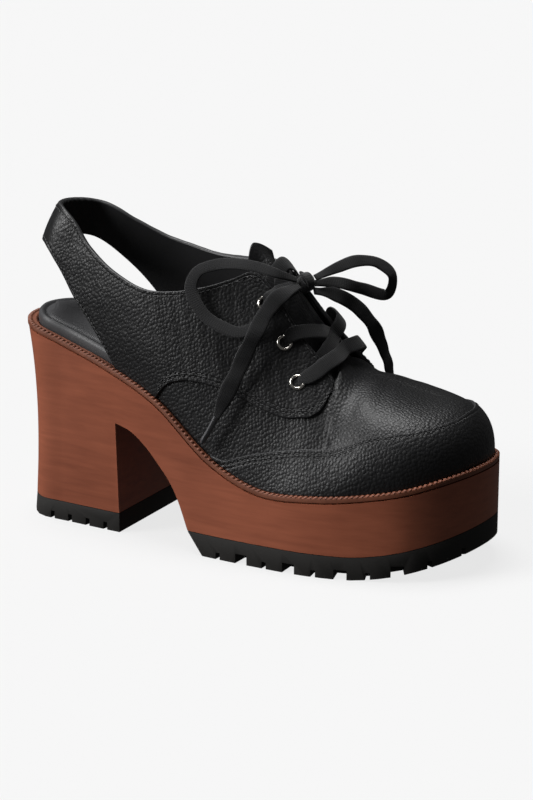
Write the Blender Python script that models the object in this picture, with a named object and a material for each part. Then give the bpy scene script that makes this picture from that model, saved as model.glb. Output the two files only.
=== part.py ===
# A women's platform clog, right shoe: wooden platform and block heel, sling-back lace-up
# upper. Metres. Toe at +X, inner (medial) side at +Y, up +Z, floor at Z = 0, origin at the
# bottom centre of the shoe's box.
import math

import bmesh
import bpy
import numpy as np
from mathutils import Matrix, Vector

mm = 0.001

# Driving sizes of the shoe, in metres. Toe at +X, inner (medial) side at +Y, floor at Z = 0.
sole_length = 0.236
ball_width = 0.1016
heel_axis_y = -0.0045          # the heel stands this far to the outer side of the box's middle
heel_height = 0.0957           # top edge of the welt at the back of the heel
platform_height = 0.0365       # top edge of the welt under the ball
toe_spring = 0.012             # the tread's lift at the toe tip
spring_start = 0.065           # where the tread leaves the floor
instep_height = 0.130          # top of the lace facing above the floor
seat_gap = 0.3 * mm            # clearance between pieces that touch
welt_thickness = 2.6 * mm
feather_inset = 4.8 * mm       # upper's inner face in from the sole's edge
wall = 1.6 * mm                # leather and lining together

# Sole sections from heel to toe: share of the length, half widths as shares of the ball
# width, rise as a share of the heel's rise, lift as a share of the toe spring.
sole_columns = ("along", "outer", "inner", "rise", "lift")
sole_rows = (
    (0.021, 0.162, 0.162, 0.995, 0.0),
    (0.055, 0.246, 0.246, 0.978, 0.0),
    (0.140, 0.281, 0.288, 0.884, 0.0),
    (0.246, 0.332, 0.330, 0.766, 0.0),
    (0.373, 0.390, 0.372, 0.559, 0.0),
    (0.500, 0.431, 0.435, 0.172, 0.0),
    (0.606, 0.4495, 0.508, 0.000, 0.0),
    (0.712, 0.4525, 0.544, 0.000, 0.01),
    (0.818, 0.405, 0.514, 0.000, 0.24),
    (0.903, 0.323, 0.426, 0.000, 0.56),
    (0.958, 0.205, 0.318, 0.000, 0.87),
    (0.988, 0.080, 0.210, 0.000, 1.02),
)
toe_tip_y = 0.065              # toe tip's side shift, as a share of the ball width

# Last sections, by the place of their feather point: where their top point stands along
# the sole, its height as a share of the instep's rise, its side shift as a share of the
# ball width, and how square the section is.
last_columns = ("along", "top_along", "top_rise", "top_side", "round", "lean")
last_rows = (
    (0.00, 0.200, 1.41, 0.000, 2.0, 2.0),
    (0.14, 0.245, 1.37, 0.005, 2.1, 2.1),
    (0.25, 0.300, 1.30, 0.015, 2.2, 2.2),
    (0.37, 0.380, 1.21, 0.020, 2.0, 1.7),
    (0.50, 0.480, 1.10, 0.025, 1.8, 1.2),
    (0.60, 0.555, 0.99, 0.030, 1.6, 1.05),
    (0.68, 0.620, 0.77, 0.045, 1.6, 1.05),
    (0.76, 0.690, 0.515, 0.070, 1.9, 1.3),
    (0.84, 0.765, 0.440, 0.110, 2.3, 2.0),
    (0.92, 0.830, 0.398, 0.125, 2.6, 2.5),
    (1.00, 0.865, 0.385, 0.125, 2.6, 2.7),
)

# Heel and arch. The back of the heel curves in below the seat, and the block draws in
# towards its breast. Levels run from the top edge, 0, down to the heel tread, 1.
heel_tread_thickness = 9.3 * mm
forefoot_tread_thickness = 10.5 * mm
heel_waist = 5.0 * mm          # how far the back of the heel curves in
heel_draw_in = 3.2 * mm        # how much narrower each side is at the bottom of the breast
heel_breast_width = 0.069
heel_centre_x = -0.086
breast_x = -0.055
arch_end_x = -0.012            # the platform's wood begins here
arch_toe_run = 8.0 * mm        # slope of the tread's rear face
arch_height = 54.4 * mm
heel_tread_flare = 1.0 * mm
heel_columns = ("drop", "curve_in")
heel_rows = (
    (0.00, 0.00),
    (0.10, 0.34),
    (0.25, 0.72),
    (0.48, 1.00),
    (0.77, 0.92),
    (1.00, 0.62),
)
arch_columns = ("along", "height")
arch_rows = (
    (0.00, 1.000),
    (0.23, 0.954),
    (0.58, 0.741),
    (0.86, 0.456),
    (1.00, 0.193),
)

# Treads: lugs in pairs round the forefoot, single lugs along the heel.
lug_pairs = 5
slit_width = 2.2 * mm
slit_depth = 6.0 * mm
slit_rise = 3.2 * mm
gap_width = 6.0 * mm
gap_depth = 9.0 * mm
gap_rise = 4.6 * mm
slit_share = 0.35              # where a slit and a gap lie in their pair's pitch
gap_share = 0.86
toe_slit_share = 0.78          # the last pair ends in a slit, close to the toe's tip
pocket_start = 0.10            # a pocket's ends, in the same pitch
pocket_end = 0.82
lug_band = 14.0 * mm           # lugs' reach in from the edge; pockets lie inside it
heel_lugs = 3
heel_slit_rise = 3.6 * mm
heel_slit_share = 0.85
heel_pocket_back = 4.0 * mm    # first heel pocket, behind and ahead of the heel's centre
heel_pocket_ahead = 9.0 * mm
heel_bar = 5.0 * mm            # bar between the two heel pockets
heel_pocket_margin = 6.0 * mm  # from the second pocket to the breast

# Insole and welt
welt_width = 4.5 * mm
insole_inset = 5.3 * mm
insole_thickness = 7.6 * mm
insole_round = 2.4 * mm
insole_levels = ((0.0, 0.0), (0.35, 0.72), (0.60, 0.93), (1.0, 1.0))   # inset, height

# Upper: edge lines on the last. Each row holds a place along the feather line and the
# height of the line there, on the outer and the inner side.
overlay_root = 0.4 * mm        # overlays begin this far out from the vamp's inner face
overlay_wall = 2.3 * mm
mudguard_root = 0.8 * mm
mudguard_wall = 1.8 * mm
overlay_lift = 0.2 * mm        # overlays stand this much higher than the vamp
foot_blend = 0.12              # share of the height over which the wall's foot turns level
facing_top_share = 0.545
throat_share = 0.745
vamp_back_share = 0.335
vamp_underlap = 0.07
strap_columns = ("along", "outer", "inner")
strap_rows = (
    (0.000, 0.335, 0.335),
    (0.036, 0.345, 0.331),
    (0.082, 0.285, 0.305),
    (0.133, 0.190, 0.255),
    (0.181, 0.115, 0.185),
    (0.214, 0.065, 0.120),
    (0.240, 0.025, 0.050),
    (0.258, 0.000, 0.000),
)
collar_columns = ("along", "outer", "inner")
collar_rows = (
    (0.000, 0.530, 0.530),
    (0.040, 0.535, 0.520),
    (0.085, 0.500, 0.505),
    (0.160, 0.400, 0.455),
    (0.240, 0.342, 0.420),
    (0.310, 0.362, 0.460),
    (0.375, 0.455, 0.535),
    (0.440, 0.580, 0.640),
    (0.500, 0.700, 0.735),
    (0.545, 0.780, 0.790),
    (0.600, 0.765, 0.770),
    (0.640, 0.740, 0.745),
    (0.680, 0.725, 0.730),
    (0.720, 0.725, 0.730),
    (0.742, 0.715, 0.715),
)
quarter_columns = ("along", "outer", "inner")
quarter_rows = (
    (0.364, 0.000, 0.000),
    (0.380, 0.085, 0.075),
    (0.416, 0.200, 0.180),
    (0.450, 0.275, 0.250),
    (0.506, 0.355, 0.330),
    (0.560, 0.385, 0.385),
    (0.620, 0.405, 0.440),
    (0.684, 0.447, 0.480),
    (0.715, 0.490, 0.520),
    (0.732, 0.555, 0.580),
    (0.742, 0.650, 0.660),
)
mudguard_columns = ("along", "outer", "inner")
mudguard_rows = (
    (0.500, 0.030, 0.110),
    (0.521, 0.060, 0.175),
    (0.561, 0.165, 0.245),
    (0.621, 0.260, 0.325),
    (0.700, 0.325, 0.378),
    (0.755, 0.354, 0.410),
    (0.837, 0.393, 0.442),
    (0.900, 0.425, 0.465),
    (0.951, 0.469, 0.530),
    (0.985, 0.515, 0.575),
    (1.000, 0.570, 0.570),
)
vamp_side_limit = 0.93         # the vamp's highest reach beside the throat
throat_step = 0.006            # from the throat to the first section that meets the ridge
ridge_level = 0.999            # above this height a section lies on the ridge
vamp_grid_rows = 8
vamp_side_columns = 11
vamp_toe_columns = 12
quarter_grid_rows = 7
quarter_spans = (8, 7, 5, 9)   # sections along facing, collar, quarter's foot and strap
mudguard_grid_rows = 4
mudguard_grid_columns = 38

# Eyelets: place along the feather line and height, the same on both sides.
eyelet_columns = ("name", "along", "height")
eyelet_rows = (
    ("top", 0.584, 0.700),
    ("middle", 0.635, 0.640),
    ("bottom", 0.674, 0.560),
)
eyelet_flange = 3.8 * mm
eyelet_barrel = 2.7 * mm
eyelet_bore = 2.2 * mm
eyelet_height = 0.9 * mm
eyelet_reach = 2.4 * mm
eyelet_sides = 12
punch_length = 8.0 * mm

# Tongue: sections from its flared top down to under the vamp. Edge is the height of its side
# edges on the last; flare, lift and cup are shares of the instep's rise.
tongue_thickness = 2.2 * mm
tongue_clear = 1.2 * mm
tongue_steps = 13
tongue_columns_count = 9
tongue_columns = ("along", "edge", "flare", "lift", "cup")
tongue_rows = (
    (0.500, 0.734, 0.009, 0.003, 0.024),
    (0.545, 0.710, 0.000, -0.002, 0.008),
    (0.620, 0.640, 0.000, 0.000, 0.000),
    (0.700, 0.620, 0.000, -0.012, 0.000),
    (0.790, 0.700, 0.000, -0.022, 0.000),
)

# Lace: flat crossings over the tongue, and round cords for what hangs free.
lace_width = 6.5 * mm
lace_thickness = 1.6 * mm
lace_clear = 0.7 * mm
crossing_lift = 0.7 * mm       # the upper bar of a crossing rides this much higher
crossing_steps = 10
crossing_start = 0.13          # share of a crossing left off at its lower eyelet
crossing_stop = 0.81           # share at which it ends, short of its higher eyelet
crossing_bow = 0.7             # under 1, a crossing climbs sooner and runs flatter on top
crossing_columns = ("name", "low", "high", "rise")
crossing_rows = (
    ("lower", "bottom", "middle", 0.0125),
    ("upper", "middle", "top", 0.0100),
)
cord_radius = 1.3 * mm
cord_step = 7.0 * mm
cord_bevel_steps = 2
aglet_radius = 1.2 * mm
knot_centre = (0.0282, -0.0070, 0.1234)
knot_radius = 5.0 * mm
knot_segments = 12
knot_rings = 8

# Counts and small allowances
sole_stations = 44
forefoot_stations = 24
heel_stations = 12
arch_steps = 13
pocket_steps = 6
cutter_reach = 12.0 * mm
weld_distance = 0.002 * mm
instep_rise = instep_height - platform_height

# Routes of the free lace, from the knot outwards, as chosen points.
cord_routes = {
    "lace_loop_outer": (
        (0.0256, -0.0111, 0.1253), (0.0202, -0.0190, 0.1290), (0.0108, -0.0220, 0.1318),
        (0.0010, -0.0245, 0.1328), (-0.0081, -0.0278, 0.1318), (-0.0148, -0.0306, 0.1285),
        (-0.0166, -0.0330, 0.1230), (-0.0132, -0.0350, 0.1158), (-0.0076, -0.0357, 0.1098),
        (-0.0004, -0.0352, 0.1060), (0.0080, -0.0332, 0.1036), (0.0141, -0.0292, 0.1062),
        (0.0182, -0.0245, 0.1117), (0.0223, -0.0186, 0.1172), (0.0263, -0.0109, 0.1205)),
    "lace_loop_inner": (
        (0.0313, -0.0031, 0.1252), (0.0380, 0.0055, 0.1288), (0.0444, 0.0155, 0.1309),
        (0.0508, 0.0225, 0.1288), (0.0569, 0.0262, 0.1214), (0.0549, 0.0258, 0.1116),
        (0.0428, 0.0195, 0.1129), (0.0363, 0.0090, 0.1180), (0.0306, -0.0026, 0.1217)),
    "lace_end_outer": (
        (0.0273, -0.0122, 0.1229), (0.0250, -0.0203, 0.1212), (0.0223, -0.0240, 0.1186),
        (0.0191, -0.0287, 0.1127), (0.0159, -0.0330, 0.1036), (0.0128, -0.0372, 0.0942),
        (0.0090, -0.0408, 0.0834), (0.0050, -0.0446, 0.0724)),
    "lace_end_inner": (
        (0.0319, -0.0049, 0.1198), (0.0360, 0.0060, 0.1150), (0.0400, 0.0145, 0.1062),
        (0.0446, 0.0199, 0.0971), (0.0490, 0.0240, 0.0888), (0.0510, 0.0290, 0.0818),
        (0.0521, 0.0335, 0.0755), (0.0524, 0.0390, 0.0690)),
    "lace_lead_outer": (
        (0.0238, -0.0098, 0.1230), (0.0205, -0.0140, 0.1216), (0.0180, -0.0185, 0.1190)),
    "lace_lead_inner": (
        (0.0251, -0.0028, 0.1232), (0.0215, 0.0060, 0.1240), (0.0182, 0.0122, 0.1218)),
}
aglet_routes = {
    "lace_tip_outer": ((0.0048, -0.0448, 0.0720), (0.0020, -0.0470, 0.0640), (-0.0030, -0.0492, 0.0550)),
    "lace_tip_inner": ((0.0525, 0.0394, 0.0686), (0.0524, 0.0440, 0.0620), (0.0520, 0.0476, 0.0540)),
}


def column(rows, names, name):
    place = names.index(name)
    return np.array([row[place] for row in rows])


def curve_through(keys, values, at):
    # Cubic through the keys, with each key's slope taken from its two neighbours.
    keys = np.asarray(keys, float)
    values = np.asarray(values, float)
    at = np.clip(np.asarray(at, float), keys[0], keys[-1])
    slopes = np.gradient(values, keys)
    span = np.clip(np.searchsorted(keys, at, side="right") - 1, 0, len(keys) - 2)
    width = keys[span + 1] - keys[span]
    t = (at - keys[span]) / width
    first = (1 + 2 * t) * (1 - t) ** 2 * values[span] + t * (1 - t) ** 2 * width * slopes[span]
    second = t * t * (3 - 2 * t) * values[span + 1] - t * t * (1 - t) * width * slopes[span + 1]
    return first + second


def along_to_x(along):
    return (along - 0.5) * sole_length


def edge_height(x):
    along = x / sole_length + 0.5
    keys = np.concatenate(([0.0], column(sole_rows, sole_columns, "along"), [1.0]))
    rise = np.concatenate(([1.0], column(sole_rows, sole_columns, "rise"), [0.0]))
    lift = np.concatenate(([0.0], column(sole_rows, sole_columns, "lift"), [1.07]))
    height = curve_through(keys, rise, along) * (heel_height - platform_height)
    return platform_height + height + curve_through(keys, lift, along) * toe_spring


def tread_height(x):
    reach = np.clip((x - spring_start) / (0.5 * sole_length - spring_start), 0.0, 1.0)
    return toe_spring * reach ** 1.8


def closed_outline(steps=16):
    # Dense outline of the sole: heel tip, outer side, toe tip, inner side.
    along = along_to_x(column(sole_rows, sole_columns, "along"))
    outer = heel_axis_y - ball_width * column(sole_rows, sole_columns, "outer")
    inner = heel_axis_y + ball_width * column(sole_rows, sole_columns, "inner")
    heel = [(-0.5 * sole_length, heel_axis_y)]
    toe = [(0.5 * sole_length, heel_axis_y + toe_tip_y * ball_width)]
    points = heel + list(zip(along, outer)) + toe + list(zip(along[::-1], inner[::-1]))
    points = np.array(points)
    ring = np.concatenate((points[-3:], points, points[:4]))
    chord = np.concatenate(([0.0], np.cumsum(np.linalg.norm(np.diff(ring, axis=0), axis=1))))
    first, last = chord[3], chord[3 + len(points)]
    at = np.linspace(first, last, steps * len(points), endpoint=False)
    return np.stack([curve_through(chord, ring[:, i], at) for i in (0, 1)], axis=1)


def inset_outline(inset):
    ring = closed_outline()
    tangent = np.roll(ring, -1, axis=0) - np.roll(ring, 1, axis=0)
    tangent /= np.linalg.norm(tangent, axis=1)[:, None]
    inward = np.stack((-tangent[:, 1], tangent[:, 0]), axis=1)
    return ring + inset * inward


class Outline:
    # An inset outline that is read by its place x: outer and inner side.
    def __init__(self, inset):
        ring = inset_outline(inset)
        heel = int(np.argmin(ring[:, 0]))
        ring = np.roll(ring, -heel, axis=0)
        toe = int(np.argmax(ring[:, 0]))
        self.outer = ring[:toe + 1]
        self.inner = np.concatenate((ring[toe:], ring[:1]))[::-1]
        self.back = ring[0, 0]
        self.front = ring[toe, 0]

    def side(self, x, inner):
        chain = self.inner if inner else self.outer
        return np.interp(x, chain[:, 0], chain[:, 1])


feather_line = Outline(feather_inset)


def turn_share(turn):
    # turn runs 0 to 1 along the outer side, heel to toe, and 1 to 2 back along the inner.
    return 0.5 - 0.5 * np.cos(math.pi * np.asarray(turn, float))


def last_point(turn, height):
    # A point of the last: turn places it round the feather line, height runs from the
    # feather line, 0, to the ridge, 1.
    turn = np.mod(np.asarray(turn, float), 2.0)
    height = np.asarray(height, float)
    share = turn_share(turn)
    x = feather_line.back + share * (feather_line.front - feather_line.back)
    side = np.where(turn > 1.0, feather_line.side(x, True), feather_line.side(x, False))
    foot = np.stack((x, side, edge_height(x) + seat_gap + 0 * side), axis=-1)
    keys = column(last_rows, last_columns, "along")
    reads = [curve_through(keys, column(last_rows, last_columns, name), share)
             for name in last_columns[1:]]
    top_x = along_to_x(reads[0])
    top_z = platform_height + reads[1] * (instep_height - platform_height)
    top = np.stack((top_x, heel_axis_y + reads[2] * ball_width, top_z), axis=-1)
    angle = 0.5 * math.pi * np.clip(height, 0.0, 1.0)
    across = 1.0 - np.clip(np.cos(angle), 0.0, 1.0) ** (2.0 / reads[3])
    upward = np.sin(angle) ** (2.0 / reads[4])
    level = foot[..., :2] + (top[..., :2] - foot[..., :2]) * across[..., None]
    rise = foot[..., 2] + (top[..., 2] - foot[..., 2]) * upward
    return np.concatenate((level, rise[..., None]), axis=-1)


def last_normal(turn, height):
    turn = np.asarray(turn, float)
    height = np.clip(np.asarray(height, float), 0.01, 0.99)
    step = 0.004
    round_way = last_point(turn + step, height) - last_point(turn - step, height)
    up_way = last_point(turn, height + step) - last_point(turn, height - step)
    normal = np.cross(round_way, up_way)
    return normal / np.linalg.norm(normal, axis=-1)[..., None]


def skin_point(turn, height, offset):
    return last_point(turn, height) + last_normal(turn, height) * np.asarray(offset)[..., None]


# Helpers that make closed meshes

def new_object(name, vertices, faces, material=None, group="platform_clog"):
    mesh = bpy.data.meshes.new(name)
    mesh.from_pydata([tuple(v) for v in vertices], [], [tuple(f) for f in faces])
    tidy = bmesh.new()
    tidy.from_mesh(mesh)
    bmesh.ops.remove_doubles(tidy, verts=tidy.verts, dist=weld_distance)
    bmesh.ops.dissolve_degenerate(tidy, edges=tidy.edges, dist=weld_distance)
    bmesh.ops.recalc_face_normals(tidy, faces=tidy.faces)
    tidy.to_mesh(mesh)
    tidy.free()
    thing = bpy.data.objects.new(name, mesh)
    collections[group].objects.link(thing)
    if material is not None:
        mesh.materials.append(material)
        mesh.polygons.foreach_set("use_smooth", [True] * len(mesh.polygons))
        mesh.set_sharp_from_angle(angle=math.radians(35.0))
    if group == "cutters":
        thing.hide_render = True
        thing.display_type = "WIRE"
    return thing


def make_material(name, colour, roughness, metallic=0.0):
    material = bpy.data.materials.new(name)
    material.use_nodes = True
    shader = material.node_tree.nodes["Principled BSDF"]
    shader.inputs["Base Color"].default_value = (*colour, 1.0)
    shader.inputs["Roughness"].default_value = roughness
    shader.inputs["Metallic"].default_value = metallic
    return material


def join_by_boolean(target, others, operation):
    for other in others:
        cut = target.modifiers.new(operation.lower() + "_" + other.name, "BOOLEAN")
        cut.operation = operation
        cut.solver = "EXACT"
        cut.object = other


def loft(rings, capped=True):
    # Closed body through equal rings whose points run out one side and back the other.
    rings = [np.asarray(ring) for ring in rings]
    count = len(rings[0])
    faces = []
    for level in range(len(rings) - 1):
        low, high = level * count, (level + 1) * count
        for i in range(count):
            j = (i + 1) % count
            faces.append((low + i, low + j, high + j, high + i))
    if capped:
        for base in (0, (len(rings) - 1) * count):
            for i in range(count // 2):
                j = (count - i) % count
                faces.append((base + i, base + i + 1, base + (j - 1) % count, base + j))
    return np.concatenate(rings), faces


def loop_of(outline, places, height, shape=None):
    # Ring of points at the places x: heel tip, outer side, toe tip, inner side.
    outer = np.stack((places, outline.side(places, False), height(places)), axis=1)
    inner = np.stack((places, outline.side(places, True), height(places)), axis=1)
    ring = np.concatenate((outer, inner[-2:0:-1]))
    return ring if shape is None else shape(ring)


def spread(back, front, count):
    # Places that crowd towards both round ends.
    return back + (front - back) * (0.5 - 0.5 * np.cos(np.linspace(0.0, math.pi, count + 1)))


def spread_front(back, front, count):
    # Places that crowd towards the toe alone.
    return back + (front - back) * np.sin(np.linspace(0.0, 0.5 * math.pi, count + 1))


def open_loop(outline, places, height):
    # Ring with a straight back edge and a closed toe.
    outer = np.stack((places, outline.side(places, False), height(places)), axis=1)
    inner = np.stack((places, outline.side(places, True), height(places)), axis=1)
    return np.concatenate((outer, inner[-2::-1]))


# Wooden sole: platform, arch and heel in one block

def wood_top(x):
    return edge_height(x) - welt_thickness - seat_gap


def forefoot_top(x):
    return tread_height(x) + forefoot_tread_thickness


def heel_drop(z, x):
    high = edge_height(x)
    low = heel_tread_thickness + seat_gap
    return np.clip((high - z) / (high - low), 0.0, 1.0)


def shape_heel(ring):
    # The back curves in below the seat and the sides draw in towards the breast.
    ring = ring.copy()
    x, y, z = ring[:, 0], ring[:, 1], ring[:, 2]
    drop = heel_drop(z, x)
    keys = column(heel_rows, heel_columns, "drop")
    curve_in = curve_through(keys, column(heel_rows, heel_columns, "curve_in"), drop)
    behind = np.clip((heel_centre_x - x) / (heel_centre_x + 0.5 * sole_length), 0.0, 1.0)
    to_breast = np.clip((x - heel_centre_x) / (breast_x - heel_centre_x), 0.0, 1.0)
    to_platform = np.clip((arch_end_x - x) / (arch_end_x - breast_x), 0.0, 1.0)
    draw_in = heel_draw_in * drop * to_breast * to_platform / (0.5 * heel_breast_width)
    ring[:, 0] = x + heel_waist * curve_in * behind
    ring[:, 1] = heel_axis_y + (y - heel_axis_y) * (1.0 - draw_in)
    return ring


def sole_bottom(x):
    under_heel = heel_tread_thickness + seat_gap + 0 * x
    under_ball = forefoot_top(x) + seat_gap
    return np.where(x < 0.5 * (breast_x + arch_end_x), under_heel, under_ball)


def make_wooden_sole():
    outline = Outline(0.0)
    places = spread(outline.back, outline.front, sole_stations)
    rings = []
    for drop in column(heel_rows, heel_columns, "drop"):
        height = lambda x, d=drop: wood_top(x) + (sole_bottom(x) - wood_top(x)) * d
        rings.append(loop_of(outline, places, height, shape_heel))
    sole = new_object("wooden_sole", *loft(rings), materials["wood"])
    join_by_boolean(sole, [make_arch_cutter()], "DIFFERENCE")
    return sole


def make_arch_cutter():
    along = np.linspace(0.0, 1.0, arch_steps)
    keys = column(arch_rows, arch_columns, "along")
    heights = curve_through(keys, column(arch_rows, arch_columns, "height"), along)
    x = breast_x + along * (arch_end_x - breast_x)
    profile = [(breast_x, -cutter_reach)]
    profile += list(zip(x, heights * arch_height))
    profile += [(arch_end_x + arch_toe_run, -cutter_reach)]
    sides = [[(px, side, pz) for px, pz in profile] for side in (-ball_width, ball_width)]
    count = len(profile)
    faces = [tuple(range(count)), tuple(range(2 * count - 1, count - 1, -1))]
    faces += [(i, (i + 1) % count, count + (i + 1) % count, count + i) for i in range(count)]
    return new_object("arch_cutter", sides[0] + sides[1], faces, group="cutters")


# Welt, insole and treads

def make_welt():
    outer, inner = Outline(0.0), Outline(welt_width)
    rings = []
    for outline, height in ((outer, edge_height), (inner, edge_height),
                            (inner, welt_foot), (outer, welt_foot)):
        places = spread(outline.back, outline.front, sole_stations)
        rings.append(loop_of(outline, places, height))
    count = len(rings[0])
    faces = []
    for level in range(4):
        low, high = level * count, ((level + 1) % 4) * count
        faces += [(low + i, low + (i + 1) % count, high + (i + 1) % count, high + i)
                  for i in range(count)]
    return new_object("welt", np.concatenate(rings), faces, materials["welt"])


def welt_foot(x):
    return edge_height(x) - welt_thickness


def make_insole():
    # A padded footbed with a rounded upper edge.
    rings = []
    for inset, share in insole_levels:
        outline = Outline(insole_inset + inset * insole_round)
        places = spread(outline.back, outline.front, sole_stations)
        height = lambda x, s=share: wood_top(x) + seat_gap + s * insole_thickness
        rings.append(loop_of(outline, places, height))
    return new_object("insole", *loft(rings), materials["insole"])


def groove_boxes(name, places, outline, ground):
    # One box for each gap between lugs, square to the sole's edge.
    vertices, faces = [], []
    for x, inner, width, depth, rise in places:
        step = 1.0 * mm
        here = np.array((x, float(outline.side(x, inner))))
        ahead = np.array((x + step, float(outline.side(x + step, inner))))
        along = (ahead - here) / np.linalg.norm(ahead - here)
        outward = np.array((-along[1], along[0])) if inner else np.array((along[1], -along[0]))
        top = float(ground(x)) + rise
        base = len(vertices)
        for z in (-cutter_reach, top):
            for far, near in ((1, 1), (1, -1), (-1, -1), (-1, 1)):
                out = cutter_reach if far > 0 else -depth
                flat = here + outward * out + along * near * 0.5 * width
                vertices.append((flat[0], flat[1], z))
        faces += [tuple(base + i for i in side) for side in
                  ((0, 1, 2, 3), (7, 6, 5, 4), (0, 4, 5, 1), (1, 5, 6, 2), (2, 6, 7, 3), (3, 7, 4, 0))]
    return new_object(name, vertices, faces, group="cutters")


def field_pockets(name, outline, spans, ground, rise):
    # Shallow pockets in the middle of a tread, with a bar left between each two.
    vertices, faces = [], []
    for back, front in spans:
        places = np.linspace(back, front, pocket_steps)
        rings = []
        for high in (0.0, 1.0):
            height = lambda x, h=high: h * (ground(x) + rise) - (1.0 - h) * cutter_reach + 0 * x
            outer = np.stack((places, outline.side(places, False), height(places)), axis=1)
            inner = np.stack((places, outline.side(places, True), height(places)), axis=1)
            rings.append(np.concatenate((outer, inner[::-1])))
        count = len(rings[0])
        base = len(vertices)
        for i in range(count):
            j = (i + 1) % count
            faces.append((base + i, base + j, base + count + j, base + count + i))
        for lift in (0, count):
            for i in range(pocket_steps - 1):
                j = count - 1 - i
                faces.append(tuple(base + lift + v for v in (i, i + 1, j - 1, j)))
        vertices += [tuple(v) for ring in rings for v in ring]
    return new_object(name, vertices, faces, group="cutters")


def make_forefoot_tread():
    outline = Outline(0.0)
    rings = []
    for share in (0.0, 1.0):
        back = arch_end_x + arch_toe_run * (1.0 - share)
        places = spread_front(back, outline.front, forefoot_stations)
        height = lambda x, s=share: tread_height(x) + s * forefoot_tread_thickness
        rings.append(open_loop(outline, places, height))
    tread = new_object("forefoot_tread", *loft_strips(rings, forefoot_stations + 1),
                       materials["rubber"])
    first = arch_end_x + arch_toe_run
    pitch = (outline.front - first) / lug_pairs
    grooves = []
    for pair in range(lug_pairs):
        for inner in (False, True):
            start = first + pair * pitch
            grooves.append((start + slit_share * pitch, inner, slit_width, slit_depth, slit_rise))
            if pair < lug_pairs - 1:
                grooves.append((start + gap_share * pitch, inner, gap_width, gap_depth, gap_rise))
            else:
                grooves.append((start + toe_slit_share * pitch, inner, slit_width, slit_depth, slit_rise))
    spans = [(first + (pair + pocket_start) * pitch, first + (pair + pocket_end) * pitch)
             for pair in range(lug_pairs - 1)]
    field = field_pockets("forefoot_pockets", Outline(lug_band), spans, tread_height, gap_rise)
    join_by_boolean(tread, [groove_boxes("forefoot_grooves", grooves, outline, tread_height),
                            field], "DIFFERENCE")
    return tread


def loft_strips(rings, side_count):
    # Loft of open-backed rings, capped by strips across.
    count = len(rings[0])
    vertices = np.concatenate(rings)
    faces = [(i, (i + 1) % count, count + (i + 1) % count, count + i) for i in range(count)]
    for base in (0, count):
        for i in range(side_count - 1):
            j = (count - i) % count if i == 0 else count - i
            far = count - 1 - i
            faces.append((base + i, base + i + 1, base + max(far - 1, i + 1), base + far))
    return vertices, faces


def heel_floor(x):
    return 0.0 * x


def make_heel_tread():
    outline = Outline(0.0)
    places = outline.back + (breast_x - outline.back) * (
        1.0 - np.cos(np.linspace(0.0, 0.5 * math.pi, heel_stations + 1)))
    drop_to = heel_tread_thickness + seat_gap
    rings = []
    for z, flare in ((0.0, heel_tread_flare), (heel_tread_thickness, 0.0)):
        outer = np.stack((places, outline.side(places, False), 0 * places + drop_to), axis=1)
        inner = np.stack((places, outline.side(places, True), 0 * places + drop_to), axis=1)
        ring = shape_heel(np.concatenate((outer[::-1], inner[1:])))
        ring[:, 2] = z
        ring[:, 0] -= flare * np.clip((heel_centre_x - ring[:, 0]) / heel_waist, 0.0, 1.0)
        rings.append(ring)
    tread = new_object("heel_tread", *loft_strips(rings, heel_stations + 1), materials["rubber"])
    pitch = (breast_x - heel_centre_x) / heel_lugs
    grooves = []
    for inner in (False, True):
        for k in range(heel_lugs + 1):
            x = breast_x - (k + heel_slit_share) * pitch
            grooves.append((x, inner, slit_width, slit_depth, heel_slit_rise))
    first_end = heel_centre_x + heel_pocket_ahead
    spans = [(heel_centre_x - heel_pocket_back, first_end),
             (first_end + heel_bar, breast_x - heel_pocket_margin)]
    field = field_pockets("heel_pockets", Outline(lug_band), spans, heel_floor, heel_slit_rise)
    join_by_boolean(tread, [groove_boxes("heel_grooves", grooves, outline, heel_floor), field],
                    "DIFFERENCE")
    return tread


# Upper: vamp, quarters with sling strap, and mudguard, joined as one wall

def edge_of(rows, names, turn):
    # Height of an edge line at a turn, read from its outer or inner column.
    turn = np.mod(turn, 2.0)
    share = turn_share(turn)
    keys = column(rows, names, "along")
    outer = curve_through(keys, column(rows, names, "outer"), share)
    inner = curve_through(keys, column(rows, names, "inner"), share)
    return np.where(turn > 1.0, inner, outer)


def turns_between(first, last, count):
    return np.linspace(first, last, count + 1)


def turn_at(share, inner=False):
    turn = math.acos(1.0 - 2.0 * share) / math.pi
    return 2.0 - turn if inner else turn


def skin_grid(turns, lows, highs, rows, offset, lift=0.0):
    # Grid of skin points, a column for each turn between its low and high edge. The foot
    # of the wall keeps level, so that it stands flat on the welt.
    steps = np.linspace(0.0, 1.0, rows + 1)
    heights = lows[None, :] + (highs - lows)[None, :] * steps[:, None]
    turn = np.broadcast_to(turns[None, :], heights.shape)
    base = last_point(turn, heights)
    normal = last_normal(turn, heights)
    on_ridge = heights[..., None] > ridge_level
    normal = np.where(on_ridge, normal + last_normal(-turn, heights), normal)
    level = np.clip(heights / foot_blend, 0.0, 1.0)
    normal[..., 2] *= level * level * (3.0 - 2.0 * level)
    normal /= np.linalg.norm(normal, axis=-1)[..., None]
    grid = base + normal * offset
    grid[..., 2] += lift + (edge_height(grid[..., 0]) - edge_height(base[..., 0])) * (1.0 - level)
    return grid


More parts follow.
